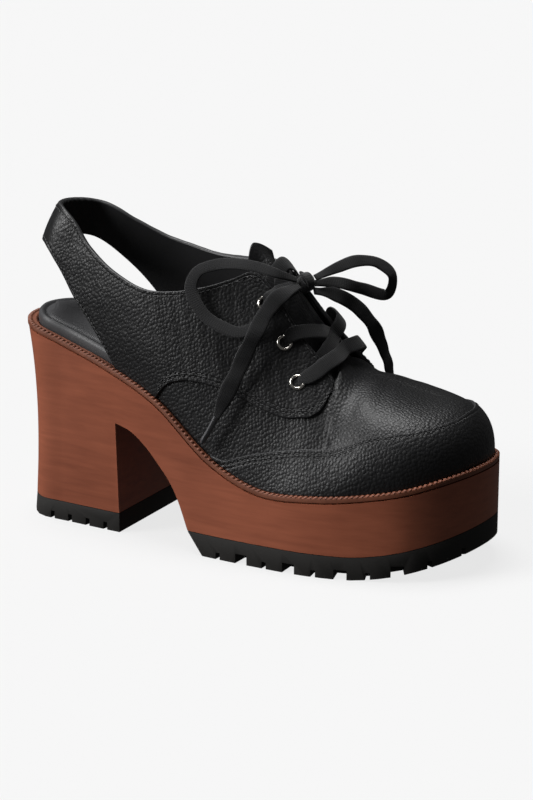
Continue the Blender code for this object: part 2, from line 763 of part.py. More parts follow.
def wall_between(grid_in, grid_out, meets_ridge=None):
    # Closed wall between two equal grids. Where both columns of a step meet the ridge, the
    # other side's wall carries on, so the top needs no rim there.
    rows, columns = grid_in.shape[:2]
    vertices = np.concatenate((grid_in.reshape(-1, 3), grid_out.reshape(-1, 3)))
    size = rows * columns
    place = lambda r, c, layer: layer * size + r * columns + c
    faces = []
    for r in range(rows - 1):
        for c in range(columns - 1):
            corners = ((r, c), (r, c + 1), (r + 1, c + 1), (r + 1, c))
            faces.append(tuple(place(*corner, 1) for corner in corners))
            faces.append(tuple(place(*corner, 0) for corner in reversed(corners)))
    rim = [(0, c) for c in range(columns)] + [(r, columns - 1) for r in range(1, rows)]
    rim += [(rows - 1, c) for c in range(columns - 2, -1, -1)] + [(r, 0) for r in range(rows - 2, 0, -1)]
    for here, there in zip(rim, rim[1:] + rim[:1]):
        on_top = here[0] == there[0] == rows - 1
        if on_top and meets_ridge is not None and meets_ridge[here[1]] and meets_ridge[there[1]]:
            continue
        faces.append((place(*here, 0), place(*there, 0), place(*there, 1), place(*here, 1)))
    return vertices, faces


def quarter_low(turn):
    share = turn_share(np.mod(turn, 2.0))
    strap = edge_of(strap_rows, strap_columns, turn)
    seam = edge_of(quarter_rows, quarter_columns, turn)
    return np.where(share < strap_rows[-1][0], strap, np.where(share < quarter_rows[0][0], 0.0, seam))


def make_quarters():
    front = turn_at(quarter_rows[-1][0])
    back = turn_at(strap_rows[-1][0])
    seam = turn_at(quarter_rows[0][0])
    tops = turn_at(facing_top_share)
    stops = (front, tops, seam, back, 0.0)
    parts = [turns_between(first, last, count)
             for first, last, count in zip(stops, stops[1:], quarter_spans)]
    half = np.concatenate([part[:-1] for part in parts] + [[0.0]])
    turns = np.concatenate((half, -half[-2::-1]))
    lows, highs = quarter_low(turns), edge_of(collar_rows, collar_columns, turns)
    grids = [skin_grid(turns, lows, highs, quarter_grid_rows, offset, overlay_lift)
             for offset in (overlay_root, overlay_root + overlay_wall)]
    return wall_between(*grids)


def make_vamp():
    back = turn_at(vamp_back_share)
    throat = turn_at(throat_share)
    toe_start = turn_at(throat_share + throat_step)
    half = np.concatenate((turns_between(back, throat, vamp_side_columns),
                           turns_between(toe_start, 1.0, vamp_toe_columns)))
    turns = np.concatenate((half, 2.0 - half[-2::-1]))
    share = turn_share(turns)
    seam = edge_of(quarter_rows, quarter_columns, turns) + vamp_underlap
    highs = np.where(share < throat_share + 0.5 * throat_step, np.minimum(seam, vamp_side_limit), 1.0)
    lows = np.zeros_like(highs)
    grids = [skin_grid(turns, lows, highs, vamp_grid_rows, offset) for offset in (0.0, wall)]
    return wall_between(*grids, meets_ridge=highs > ridge_level)


def make_mudguard():
    first = turn_at(mudguard_rows[0][0])
    turns = turns_between(first, 2.0 - first, mudguard_grid_columns)
    highs = edge_of(mudguard_rows, mudguard_columns, turns)
    grids = [skin_grid(turns, 0 * highs, highs, mudguard_grid_rows, offset, overlay_lift)
             for offset in (mudguard_root, mudguard_root + mudguard_wall)]
    return wall_between(*grids)


def eyelet_frames():
    # Place and outward direction of each eyelet, on the quarters' outer face.
    frames = []
    for name, share, height in eyelet_rows:
        for side, inner in (("outer", False), ("inner", True)):
            turn = np.array(turn_at(share, inner))
            out = last_normal(turn, np.array(height))
            centre = last_point(turn, np.array(height)) + out * (overlay_root + overlay_wall)
            centre[2] += overlay_lift
            frames.append((name + "_" + side, Vector(centre), Vector(out)))
    return frames


def upright(direction):
    return direction.to_track_quat("Z", "Y").to_matrix().to_4x4()


def make_hole_punches():
    punches = bmesh.new()
    for name, centre, out in eyelet_frames():
        place = Matrix.Translation(centre - out * 0.5 * overlay_wall) @ upright(out)
        bmesh.ops.create_cone(punches, cap_ends=True, segments=eyelet_sides,
                              radius1=eyelet_barrel + seat_gap, radius2=eyelet_barrel + seat_gap,
                              depth=punch_length, matrix=place)
    mesh = bpy.data.meshes.new("hole_punches")
    punches.to_mesh(mesh)
    punches.free()
    thing = bpy.data.objects.new("hole_punches", mesh)
    collections["cutters"].objects.link(thing)
    thing.hide_render = True
    thing.display_type = "WIRE"
    return thing


def make_upper():
    upper = new_object("upper", *make_vamp(), materials["leather"])
    quarters = new_object("quarters_layer", *make_quarters(), group="cutters")
    mudguard = new_object("mudguard_layer", *make_mudguard(), group="cutters")
    join_by_boolean(upper, [quarters, mudguard], "UNION")
    join_by_boolean(upper, [make_hole_punches()], "DIFFERENCE")
    return upper


# Tongue, eyelets and lace

def make_tongue():
    # A curved flap under the facings, flared and cupped above the collar.
    shares = column(tongue_rows, tongue_columns, "along")
    at = np.linspace(shares[0], shares[-1], tongue_steps)
    read = {name: curve_through(shares, column(tongue_rows, tongue_columns, name), at)
            for name in tongue_columns[1:]}
    layers = []
    for depth in (tongue_clear + tongue_thickness, tongue_clear):
        grid = []
        for k, share in enumerate(at):
            section = []
            for side in np.linspace(-1.0, 1.0, tongue_columns_count):
                inner = side > 0.0
                height = 1.0 - abs(side) * (1.0 - read["edge"][k])
                turn = np.array(turn_at(min(share, 0.999), inner))
                point = skin_point(turn, np.array(height), -depth)
                point = point + np.array((read["flare"][k], 0.0, read["lift"][k])) * instep_rise
                cup = read["cup"][k] * instep_rise * side * side
                section.append(point + np.array((0.35 * cup, 0.0, cup)))
            grid.append(section)
        layers.append(np.array(grid))
    return new_object("tongue", *wall_between(*layers), materials["leather"])


def make_eyelets():
    made = []
    for name, centre, out in eyelet_frames():
        profile = [(eyelet_bore, -eyelet_reach), (eyelet_barrel, -eyelet_reach),
                   (eyelet_barrel, seat_gap), (eyelet_flange, seat_gap),
                   (eyelet_flange - 0.5 * eyelet_height, eyelet_height + seat_gap),
                   (eyelet_bore, 0.6 * eyelet_height)]
        vertices, faces = [], []
        count = len(profile)
        for s in range(eyelet_sides):
            angle = 2.0 * math.pi * s / eyelet_sides
            vertices += [(r * math.cos(angle), r * math.sin(angle), z) for r, z in profile]
            ahead = ((s + 1) % eyelet_sides) * count
            faces += [(s * count + i, ahead + i, ahead + (i + 1) % count, s * count + (i + 1) % count)
                      for i in range(count)]
        ring = new_object("eyelet_" + name, vertices, faces, materials["metal"])
        ring.data.transform(Matrix.Translation(centre) @ upright(out))
        made.append(ring)
    return made


def arch_ribbon(start, finish, rise, width):
    # Flat strap that arches from one eyelet to the other, over the tongue.
    share = np.linspace(crossing_start, crossing_stop, crossing_steps)[:, None]
    (from_place, from_out), (to_place, to_out) = start, finish
    middle = from_out + to_out
    middle /= np.linalg.norm(middle)
    hump = (4.0 * share * (1.0 - share)) ** crossing_bow
    centres = from_place + (to_place - from_place) * share + middle * rise * hump
    normals = from_out * (1.0 - share) * (1.0 - hump) + middle * hump + to_out * share * (1.0 - hump)
    tangents = np.gradient(centres, axis=0)
    across = np.cross(normals, tangents)
    across /= np.linalg.norm(across, axis=1)[:, None]
    outward = np.cross(tangents, across)
    outward /= np.linalg.norm(outward, axis=1)[:, None]
    layers = []
    for lift in (0.0, lace_thickness):
        rows = [centres + across * side * 0.5 * width + outward * lift for side in (-1.0, 1.0)]
        layers.append(np.stack(rows))
    return wall_between(*layers)


def make_lace_crossings():
    made = []
    places = {name: (np.array(centre) + np.array(out) * lace_clear, np.array(out))
              for name, centre, out in eyelet_frames()}
    for name, low, high, rise in crossing_rows:
        first = new_object("lace_crossing_" + name,
                           *arch_ribbon(places[low + "_outer"], places[high + "_inner"], rise,
                                        lace_width), materials["lace"])
        mate = new_object("lace_crossing_mate_" + name,
                          *arch_ribbon(places[low + "_inner"], places[high + "_outer"],
                                       rise + crossing_lift, lace_width), group="cutters")
        join_by_boolean(first, [mate], "UNION")
        made.append(first)
    return made


def smooth_route(points, step):
    points = np.array(points, float)
    reach = np.concatenate(([0.0], np.cumsum(np.linalg.norm(np.diff(points, axis=0), axis=1))))
    count = max(int(round(reach[-1] / step)), 2)
    at = np.linspace(0.0, reach[-1], count + 1)
    return np.stack([curve_through(reach, points[:, axis], at) for axis in range(3)], axis=1)


def make_cord(name, route, radius, material):
    data = bpy.data.curves.new(name, "CURVE")
    data.dimensions = "3D"
    data.bevel_depth = radius
    data.bevel_resolution = cord_bevel_steps
    data.use_fill_caps = True
    points = smooth_route(route, cord_step)
    spline = data.splines.new("POLY")
    spline.points.add(len(points) - 1)
    for point, place in zip(spline.points, points):
        point.co = (*place, 1.0)
    cord = bpy.data.objects.new(name, data)
    data.materials.append(material)
    collections["platform_clog"].objects.link(cord)
    return cord


def make_knot():
    knot = bmesh.new()
    bmesh.ops.create_uvsphere(knot, u_segments=knot_segments, v_segments=knot_rings, radius=knot_radius,
                              matrix=Matrix.Translation(knot_centre))
    mesh = bpy.data.meshes.new("lace_knot")
    knot.to_mesh(mesh)
    knot.free()
    mesh.materials.append(materials["lace"])
    mesh.shade_smooth()
    thing = bpy.data.objects.new("lace_knot", mesh)
    collections["platform_clog"].objects.link(thing)
    return thing


# Build

for thing in list(bpy.data.objects):
    bpy.data.objects.remove(thing, do_unlink=True)

collections = {}
for name in ("platform_clog", "cutters"):
    collections[name] = bpy.data.collections.new(name)
    bpy.context.scene.collection.children.link(collections[name])

materials = {
    "wood": make_material("stained_wood", (0.27, 0.085, 0.035), 0.42),
    "welt": make_material("brown_welt", (0.25, 0.075, 0.03), 0.5),
    "rubber": make_material("black_rubber", (0.018, 0.016, 0.015), 0.7),
    "insole": make_material("insole_leather", (0.02, 0.02, 0.02), 0.45),
    "leather": make_material("black_leather", (0.015, 0.015, 0.016), 0.4),
    "metal": make_material("nickel_eyelet", (0.75, 0.73, 0.70), 0.25, 1.0),
    "lace": make_material("black_cotton", (0.016, 0.016, 0.017), 0.85),
    "aglet": make_material("clear_tip", (0.16, 0.16, 0.17), 0.4),
}

make_wooden_sole()
make_welt()
make_forefoot_tread()
make_heel_tread()
make_insole()
make_upper()
make_tongue()
make_eyelets()
make_lace_crossings()
make_knot()
for cord_name, cord_route in cord_routes.items():
    make_cord(cord_name, cord_route, cord_radius, materials["lace"])
for cord_name, cord_route in aglet_routes.items():
    make_cord(cord_name, cord_route, aglet_radius, materials["aglet"])
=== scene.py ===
# Looks of the platform clog, a right shoe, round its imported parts.
# Metres. Toe at +X, inner side of the foot at +Y, floor at Z = 0.
import math

import bmesh
import bpy
import numpy as np
from mathutils import Matrix, Vector


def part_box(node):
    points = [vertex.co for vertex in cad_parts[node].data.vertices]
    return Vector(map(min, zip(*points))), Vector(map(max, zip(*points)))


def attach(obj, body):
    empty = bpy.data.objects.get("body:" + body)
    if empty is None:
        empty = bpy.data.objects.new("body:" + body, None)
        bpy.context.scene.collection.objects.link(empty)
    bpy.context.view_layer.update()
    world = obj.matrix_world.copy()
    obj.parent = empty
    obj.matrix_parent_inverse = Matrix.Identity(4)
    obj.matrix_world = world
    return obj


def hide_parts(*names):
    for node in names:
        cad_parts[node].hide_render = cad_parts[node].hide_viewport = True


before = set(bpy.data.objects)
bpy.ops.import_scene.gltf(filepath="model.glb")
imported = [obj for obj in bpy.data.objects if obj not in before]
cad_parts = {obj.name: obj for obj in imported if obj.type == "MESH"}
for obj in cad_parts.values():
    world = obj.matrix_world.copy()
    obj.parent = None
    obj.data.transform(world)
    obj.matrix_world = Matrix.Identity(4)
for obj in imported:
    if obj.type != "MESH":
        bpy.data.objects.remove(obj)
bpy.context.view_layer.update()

mm = 0.001
scene = bpy.context.scene
scene.view_settings.view_transform = "Standard"

print("Camera")
camera = {
    "place": (0.4428, -0.8594, 0.3293),
    "look": (-0.43774, 0.85899, -0.26557),
    "roll": -0.0007,                # radians the picture leans clockwise
    "lens": 96.16,
    "sensor": 36.0,
}


def makeCamera():
    data = bpy.data.cameras.new("photoCamera")
    data.lens = camera["lens"]
    data.sensor_width = camera["sensor"]
    data.clip_start = 0.01
    data.clip_end = 100.0
    thing = bpy.data.objects.new("photoCamera", data)
    scene.collection.objects.link(thing)
    forward = Vector(camera["look"]).normalized()
    right = forward.cross(Vector((0, 0, 1))).normalized()
    up = right.cross(forward)
    lean, straight = math.sin(camera["roll"]), math.cos(camera["roll"])
    leanRight = right * straight + up * lean
    leanUp = up * straight - right * lean
    turn = Matrix((leanRight, leanUp, -forward)).transposed().to_4x4()
    thing.matrix_world = Matrix.Translation(camera["place"]) @ turn
    scene.camera = thing


makeCamera()

# Form of the shoe, the same rule as its solids follow

weltLow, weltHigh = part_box("welt")
shoe = {
    "length": weltHigh.x - weltLow.x,
    "ballWidth": 0.1016,
    "axisY": -0.0045,               # the heel stands this far to the outer side
    "heelHeight": 0.0957,
    "platformHeight": 0.0365,
    "toeSpring": 0.012,
    "springStart": 0.065,
    "instepHeight": 0.130,
    "seatGap": 0.3 * mm,
    "weltThickness": 2.6 * mm,
    "feather": 4.8 * mm,
    "toeTipY": 0.065,
    "footBlend": 0.12,
}
instepRise = shoe["instepHeight"] - shoe["platformHeight"]

soleNames = ("along", "outer", "inner", "rise", "lift")
soleRows = (
    (0.021, 0.162, 0.162, 0.995, 0.0),
    (0.055, 0.246, 0.246, 0.978, 0.0),
    (0.140, 0.281, 0.288, 0.884, 0.0),
    (0.246, 0.332, 0.330, 0.766, 0.0),
    (0.373, 0.390, 0.372, 0.559, 0.0),
    (0.500, 0.431, 0.435, 0.172, 0.0),
    (0.606, 0.4495, 0.508, 0.000, 0.0),
    (0.712, 0.4525, 0.544, 0.000, 0.01),
    (0.818, 0.405, 0.514, 0.000, 0.24),
    (0.903, 0.323, 0.426, 0.000, 0.56),
    (0.958, 0.205, 0.318, 0.000, 0.87),
    (0.988, 0.080, 0.210, 0.000, 1.02),
)
lastNames = ("along", "topAlong", "topRise", "topSide", "round", "lean")
lastRows = (
    (0.00, 0.200, 1.41, 0.000, 2.0, 2.0),
    (0.14, 0.245, 1.37, 0.005, 2.1, 2.1),
    (0.25, 0.300, 1.30, 0.015, 2.2, 2.2),
    (0.37, 0.380, 1.21, 0.020, 2.0, 1.7),
    (0.50, 0.480, 1.10, 0.025, 1.8, 1.2),
    (0.60, 0.555, 0.99, 0.030, 1.6, 1.05),
    (0.68, 0.620, 0.77, 0.045, 1.6, 1.05),
    (0.76, 0.690, 0.515, 0.070, 1.9, 1.3),
    (0.84, 0.765, 0.440, 0.110, 2.3, 2.0),
    (0.92, 0.830, 0.398, 0.125, 2.6, 2.5),
    (1.00, 0.865, 0.385, 0.125, 2.6, 2.7),
)


def column(rows, names, name):
    place = names.index(name)
    return np.array([row[place] for row in rows])


def curveThrough(keys, values, at):
    # cubic through the keys, sloped as their neighbours say
    keys = np.asarray(keys, float)
    values = np.asarray(values, float)
    at = np.clip(np.asarray(at, float), keys[0], keys[-1])
    slopes = np.gradient(values, keys)
    span = np.clip(np.searchsorted(keys, at, side="right") - 1, 0, len(keys) - 2)
    width = keys[span + 1] - keys[span]
    t = (at - keys[span]) / width
    first = (1 + 2 * t) * (1 - t) ** 2 * values[span] + t * (1 - t) ** 2 * width * slopes[span]
    second = t * t * (3 - 2 * t) * values[span + 1] - t * t * (1 - t) * width * slopes[span + 1]
    return first + second


def smoothStep(low, high, value):
    t = np.clip((np.asarray(value, float) - low) / (high - low), 0.0, 1.0)
    return t * t * (3.0 - 2.0 * t)


def alongToX(along):
    return (along - 0.5) * shoe["length"]


def edgeHeight(x):
    along = x / shoe["length"] + 0.5
    keys = np.concatenate(([0.0], column(soleRows, soleNames, "along"), [1.0]))
    rise = np.concatenate(([1.0], column(soleRows, soleNames, "rise"), [0.0]))
    lift = np.concatenate(([0.0], column(soleRows, soleNames, "lift"), [1.07]))
    height = curveThrough(keys, rise, along) * (shoe["heelHeight"] - shoe["platformHeight"])
    return shoe["platformHeight"] + height + curveThrough(keys, lift, along) * shoe["toeSpring"]


def treadHeight(x):
    reach = np.clip((x - shoe["springStart"]) / (0.5 * shoe["length"] - shoe["springStart"]), 0, 1)
    return shoe["toeSpring"] * reach ** 1.8


def closedOutline(steps=28):
    along = alongToX(column(soleRows, soleNames, "along"))
    outer = shoe["axisY"] - shoe["ballWidth"] * column(soleRows, soleNames, "outer")
    inner = shoe["axisY"] + shoe["ballWidth"] * column(soleRows, soleNames, "inner")
    heel = [(-0.5 * shoe["length"], shoe["axisY"])]
    toe = [(0.5 * shoe["length"], shoe["axisY"] + shoe["toeTipY"] * shoe["ballWidth"])]
    points = heel + list(zip(along, outer)) + toe + list(zip(along[::-1], inner[::-1]))
    points = np.array(points)
    ring = np.concatenate((points[-3:], points, points[:4]))
    chord = np.concatenate(([0.0], np.cumsum(np.linalg.norm(np.diff(ring, axis=0), axis=1))))
    at = np.linspace(chord[3], chord[3 + len(points)], steps * len(points), endpoint=False)
    return np.stack([curveThrough(chord, ring[:, i], at) for i in (0, 1)], axis=1)


def insetOutline(inset):
    ring = closedOutline()
    tangent = np.roll(ring, -1, axis=0) - np.roll(ring, 1, axis=0)
    tangent /= np.linalg.norm(tangent, axis=1)[:, None]
    return ring + inset * np.stack((-tangent[:, 1], tangent[:, 0]), axis=1)


class Outline:
    # the sole's outline, moved in, read by its place x on the outer or inner side
    def __init__(self, inset):
        ring = insetOutline(inset)
        ring = np.roll(ring, -int(np.argmin(ring[:, 0])), axis=0)
        toe = int(np.argmax(ring[:, 0]))
        self.outer = ring[:toe + 1]
        self.inner = np.concatenate((ring[toe:], ring[:1]))[::-1]
        self.back = ring[0, 0]
        self.front = ring[toe, 0]

    def side(self, x, inner):
        chain = self.inner if inner else self.outer
        return np.interp(x, chain[:, 0], chain[:, 1])


featherLine = Outline(shoe["feather"])


def turnShare(turn):
    return 0.5 - 0.5 * np.cos(math.pi * np.asarray(turn, float))


def turnAt(share, inner=False):
    turn = math.acos(1.0 - 2.0 * share) / math.pi
    return 2.0 - turn if inner else turn


def lastPoint(turn, height):
    # turn goes round the feather line, 0 to 1 outer side, 1 to 2 inner; height runs to the ridge
    turn = np.mod(np.asarray(turn, float), 2.0)
    height = np.asarray(height, float)
    share = turnShare(turn)
    x = featherLine.back + share * (featherLine.front - featherLine.back)
    side = np.where(turn > 1.0, featherLine.side(x, True), featherLine.side(x, False))
    foot = np.stack((x, side, edgeHeight(x) + shoe["seatGap"] + 0 * side), axis=-1)
    keys = column(lastRows, lastNames, "along")
    reads = [curveThrough(keys, column(lastRows, lastNames, name), share) for name in lastNames[1:]]
    topZ = shoe["platformHeight"] + reads[1] * instepRise
    top = np.stack((alongToX(reads[0]), shoe["axisY"] + reads[2] * shoe["ballWidth"], topZ), axis=-1)
    angle = 0.5 * math.pi * np.clip(height, 0.0, 1.0)
    across = 1.0 - np.clip(np.cos(angle), 0.0, 1.0) ** (2.0 / reads[3])
    upward = np.sin(angle) ** (2.0 / reads[4])
    level = foot[..., :2] + (top[..., :2] - foot[..., :2]) * across[..., None]
    rise = foot[..., 2] + (top[..., 2] - foot[..., 2]) * upward
    return np.concatenate((level, rise[..., None]), axis=-1)


def lastNormal(turn, height):
    turn = np.asarray(turn, float)
    height = np.clip(np.asarray(height, float), 0.01, 0.99)
    step = 0.004
    roundWay = lastPoint(turn + step, height) - lastPoint(turn - step, height)
    upWay = lastPoint(turn, height + step) - lastPoint(turn, height - step)
    normal = np.cross(roundWay, upWay)
    return normal / np.linalg.norm(normal, axis=-1)[..., None]


def skinPoint(turn, height, offset):
    # a point this far out from the last; the foot of the wall keeps level on the welt
    height = np.asarray(height, float)
    turn = np.broadcast_to(np.asarray(turn, float), height.shape)
    base = lastPoint(turn, height)
    normal = lastNormal(turn, height)
    ridge = smoothStep(0.985, 1.0, height)[..., None]
    normal = normal + ridge * lastNormal(-turn, height)
    level = smoothStep(0.0, shoe["footBlend"], height)
    normal[..., 2] *= level
    normal /= np.linalg.norm(normal, axis=-1)[..., None]
    grid = base + normal * np.broadcast_to(offset, height.shape)[..., None]
    grid[..., 2] += (edgeHeight(grid[..., 0]) - edgeHeight(base[..., 0])) * (1.0 - level)
    return grid


def edgeOf(rows, turn):
    # height of an edge line at a turn, from rows of place, outer side, inner side
    turn = np.mod(turn, 2.0)
    share = turnShare(turn)
    keys = [row[0] for row in rows]
    outer = curveThrough(keys, [row[1] for row in rows], share)
    inner = curveThrough(keys, [row[2] for row in rows], share)
    return np.where(turn > 1.0, inner, outer)


skin = {
    "wall": 1.6 * mm,
    "overlayRoot": 0.4 * mm,        # overlays begin this far out from the vamp's inner face
    "overlayWall": 2.3 * mm,
    "lift": 0.2 * mm,
}
eyeletRows = (("top", 0.584, 0.700), ("middle", 0.635, 0.640), ("bottom", 0.674, 0.560))


def eyeletFrames():
    frames = {}
    for name, share, height in eyeletRows:
        for side, inner in (("outer", False), ("inner", True)):
            turn = np.array(turnAt(share, inner))
            out = lastNormal(turn, np.array(height))
            centre = lastPoint(turn, np.array(height)) + out * (skin["overlayRoot"] + skin["overlayWall"])
            centre[2] += skin["lift"]
            frames[name + "_" + side] = (centre, out)
    return frames


# Materials

class Value:
    # a shader socket that takes part in Python sums
    def __init__(self, tree, socket):
        self.tree = tree
        self.socket = socket

    def maths(self, operation, *others, first=None):
        node = self.tree.node("ShaderNodeMath", {"operation": operation})
        sources = [self, *others] if first is None else [first, self]
        for place, source in enumerate(sources):
            self.tree.feed(node.inputs[place], source)
        return Value(self.tree, node.outputs[0])

    def __add__(self, other):
        return self.maths("ADD", other)

    __radd__ = __add__

    def __sub__(self, other):
        return self.maths("SUBTRACT", other)

    def __rsub__(self, other):
        return self.maths("SUBTRACT", first=other)

    def __mul__(self, other):
        return self.maths("MULTIPLY", other)

    __rmul__ = __mul__

    def __pow__(self, other):
        return self.maths("POWER", other)

    def clamped(self):
        return self.maths("MINIMUM", 1.0).maths("MAXIMUM", 0.0)

    def sine(self):
        return self.maths("SINE")

    def size(self):
        return self.maths("ABSOLUTE")

    def between(self, low, high):
        # smooth 0 to 1 between two values
        node = self.tree.node("ShaderNodeMapRange", {"interpolation_type": "SMOOTHSTEP"},
                              {"Value": self, "From Min": low, "From Max": high})
        return Value(self.tree, node.outputs["Result"])


class Finish:
    # one material and the nodes that make it
    def __init__(self, name, roughness=0.5, metallic=0.0, coat=0.0, coatRoughness=0.2,
                 sheen=0.0, specular=0.5):
        self.material = bpy.data.materials.new(name)
        self.material.use_nodes = True
        self.nodes = self.material.node_tree.nodes
        self.links = self.material.node_tree.links
        self.shader = self.nodes["Principled BSDF"]
        for socket, value in (("Roughness", roughness), ("Metallic", metallic), ("Coat Weight", coat),
                              ("Coat Roughness", coatRoughness), ("Sheen Weight", sheen),
                              ("Specular IOR Level", specular)):
            self.shader.inputs[socket].default_value = value

    def node(self, kind, settings=None, values=None):
        made = self.nodes.new(kind)
        for key, value in (settings or {}).items():
            setattr(made, key, value)
        for key, value in (values or {}).items():
            self.feed(made.inputs[key], value)
        return made

    def feed(self, socket, source):
        if isinstance(source, Value):
            self.links.new(source.socket, socket)
        elif isinstance(source, bpy.types.NodeSocket):
            self.links.new(source, socket)
        else:
            socket.default_value = source

    def place(self, scale=(1, 1, 1), turn=(0, 0, 0)):
        coordinates = self.node("ShaderNodeTexCoord")
        mapping = self.node("ShaderNodeMapping", None, {"Vector": coordinates.outputs["Object"],
                                                        "Scale": scale, "Rotation": turn})
        return mapping.outputs["Vector"]

    def axis(self, name):
        coordinates = self.node("ShaderNodeTexCoord")
        split = self.node("ShaderNodeSeparateXYZ", None, {"Vector": coordinates.outputs["Object"]})
        return Value(self, split.outputs[name])

    def uv(self, name):
        coordinates = self.node("ShaderNodeUVMap", {"uv_map": "UVMap"})
        split = self.node("ShaderNodeSeparateXYZ", None, {"Vector": coordinates.outputs["UV"]})
        return Value(self, split.outputs[name])

    def attribute(self, name):
        return Value(self, self.node("ShaderNodeAttribute", {"attribute_name": name}).outputs["Fac"])

    def noise(self, scale, detail=2.0, rough=0.5, vector=None, distortion=0.0):
        made = self.node("ShaderNodeTexNoise", None, {
            "Vector": vector or self.place(), "Scale": scale, "Detail": detail, "Roughness": rough,
            "Distortion": distortion})
        return Value(self, made.outputs["Fac"])

    def cells(self, scale, feature="F1", vector=None, output="Distance", smooth=0.3, randomness=1.0):
        made = self.node("ShaderNodeTexVoronoi", {"feature": feature},
                         {"Vector": vector or self.place(), "Scale": scale, "Randomness": randomness})
        if feature == "SMOOTH_F1":
            made.inputs["Smoothness"].default_value = smooth
        return Value(self, made.outputs[output])

    def bend(self, vector, scale, reach):
        # pushes a pattern's place about, so that its cells aren't regular
        drift = self.node("ShaderNodeTexNoise", None, {"Vector": vector, "Scale": scale})
        shift = self.node("ShaderNodeVectorMath", {"operation": "MULTIPLY_ADD"},
                          {0: drift.outputs["Color"], 1: (reach, reach, reach), 2: vector})
        return shift.outputs["Vector"]

    def blend(self, factor, first, second):
        made = self.node("ShaderNodeMix", {"data_type": "RGBA"})
        self.feed(made.inputs["Factor"], factor)
        for socket, colour in ((made.inputs[6], first), (made.inputs[7], second)):
            self.feed(socket, (*colour, 1.0) if isinstance(colour, tuple) else colour)
        return made.outputs[2]

    def colour(self, source):
        self.feed(self.shader.inputs["Base Color"], (*source, 1.0) if isinstance(source, tuple) else source)

    def roughness(self, source):
        self.feed(self.shader.inputs["Roughness"], source)

    def bump(self, height, depth, strength=1.0):
        made = self.node("ShaderNodeBump", None, {"Height": height, "Distance": depth,
                                                  "Strength": strength})
        self.feed(self.shader.inputs["Normal"], made.outputs["Normal"])


print("Materials")
finishes = {
    "leather": {"dark": (0.0035, 0.0035, 0.0038), "light": (0.0120, 0.0120, 0.0128), "grain": 740.0,
                "relief": 0.145 * mm},
    "lining": {"dark": (0.010, 0.010, 0.011), "light": (0.018, 0.018, 0.019)},
    "wood": {"dark": (0.190, 0.050, 0.024), "light": (0.475, 0.142, 0.072)},
    "welt": {"dark": (0.085, 0.024, 0.011), "light": (0.300, 0.100, 0.050)},
    "rubber": {"dark": (0.013, 0.012, 0.011), "light": (0.026, 0.024, 0.022)},
    "insole": {"dark": (0.030, 0.030, 0.032), "light": (0.058, 0.058, 0.061)},
    "lace": {"dark": (0.006, 0.006, 0.0065), "light": (0.017, 0.017, 0.018)},
}


def makeLeather():
    sizes = finishes["leather"]
    made = Finish("pebbledLeather", specular=0.34, coat=0.05, coatRoughness=0.30)
    stretched = made.place(scale=(1.0, 1.0, 0.78), turn=(0.0, 0.35, 0.25))
    bent = made.bend(stretched, 300.0, 0.0004)
    middle = made.cells(sizes["grain"], "F1", bent, randomness=0.62)
    pebbles = (1.0 - middle * middle * 2.2).clamped()
    small = (1.0 - made.cells(sizes["grain"] * 2.3, "F1", stretched, randomness=0.8)).clamped()
    fine = made.noise(2600.0, 3.0)
    wander = made.noise(70.0, 2.0)
    grainy = made.attribute("grain")
    hem = made.attribute("hem")
    channel = (hem - 1.6).size().between(0.15, 0.75)
    second = 1.0 - made.attribute("twice") * (1.0 - (hem - 3.4).size().between(0.15, 0.75))
    sunk = channel * second
    height = (pebbles + small * 0.30) * grainy + fine * 0.08 + sunk * 1.1 + wander * 0.4
    made.bump(height, sizes["relief"], 1.0)
    # painted shade: the colour is lighter on the pebble tops and darker in the valleys between them, and much
    # darker in the stitch channels, where the relief falls into shade
    tone = (pebbles * (0.35 + grainy * 0.35) + wander * 0.3) * (0.4 + sunk * 0.6)
    made.colour(made.blend(tone.clamped(), sizes["dark"], sizes["light"]))
    made.roughness(0.50 - pebbles * 0.10 + fine * 0.06 - made.noise(22.0) * 0.08)
    return made.material


def makeLining():
    sizes = finishes["lining"]
    made = Finish("smoothLining", roughness=0.6, specular=0.4)
    fine = made.noise(1500.0, 3.0)
    broad = made.noise(60.0, 2.0)
    made.bump(fine * 0.5 + made.cells(1400.0) * 0.4, 0.1 * mm, 0.6)
    made.colour(made.blend(broad, sizes["dark"], sizes["light"]))
    made.roughness(0.62 + fine * 0.12)
    return made.material


def makeWood():
    sizes = finishes["wood"]
    made = Finish("stainedWood", specular=0.42, coat=0.12, coatRoughness=0.28)
    grain = made.noise(60.0, 6.0, 0.6, made.place(scale=(0.55, 1.0, 5.0)), 0.4)
    clouds = made.noise(16.0, 3.0, 0.5)
    pores = made.noise(900.0, 2.0, 0.6, made.place(scale=(0.12, 1.0, 1.0)))
    streak = made.noise(220.0, 4.0, 0.6, made.place(scale=(0.10, 1.0, 2.4)))
    mix = (grain * 0.60 + clouds * 0.95 + streak * 0.45 - 0.52).clamped()
    made.colour(made.blend(mix, sizes["dark"], sizes["light"]))
    made.bump(grain * 0.3 + pores * 0.4 + streak * 0.4, 0.06 * mm, 0.5)
    made.roughness(0.40 + pores * 0.10 + clouds * 0.08)
    return made.material


def makeWeltFinish():
    sizes = finishes["welt"]
    made = Finish("knurledWelt", specular=0.45, coat=0.05)
    grain = made.noise(500.0, 3.0)
    broad = made.noise(70.0, 3.0)
    made.colour(made.blend((broad * 0.9 + grain * 0.25 - 0.1).clamped(), sizes["dark"], sizes["light"]))
    made.bump(grain, 0.12 * mm, 0.7)
    made.roughness(0.46 + grain * 0.16)
    return made.material


def makeRubber():
    sizes = finishes["rubber"]
    made = Finish("lugRubber", specular=0.38)
    fine = made.noise(1800.0, 3.0)
    broad = made.noise(45.0, 3.0)
    made.colour(made.blend(broad, sizes["dark"], sizes["light"]))
    made.bump(fine, 0.08 * mm, 0.7)
    made.roughness(0.60 + broad * 0.15 + fine * 0.08)
    return made.material


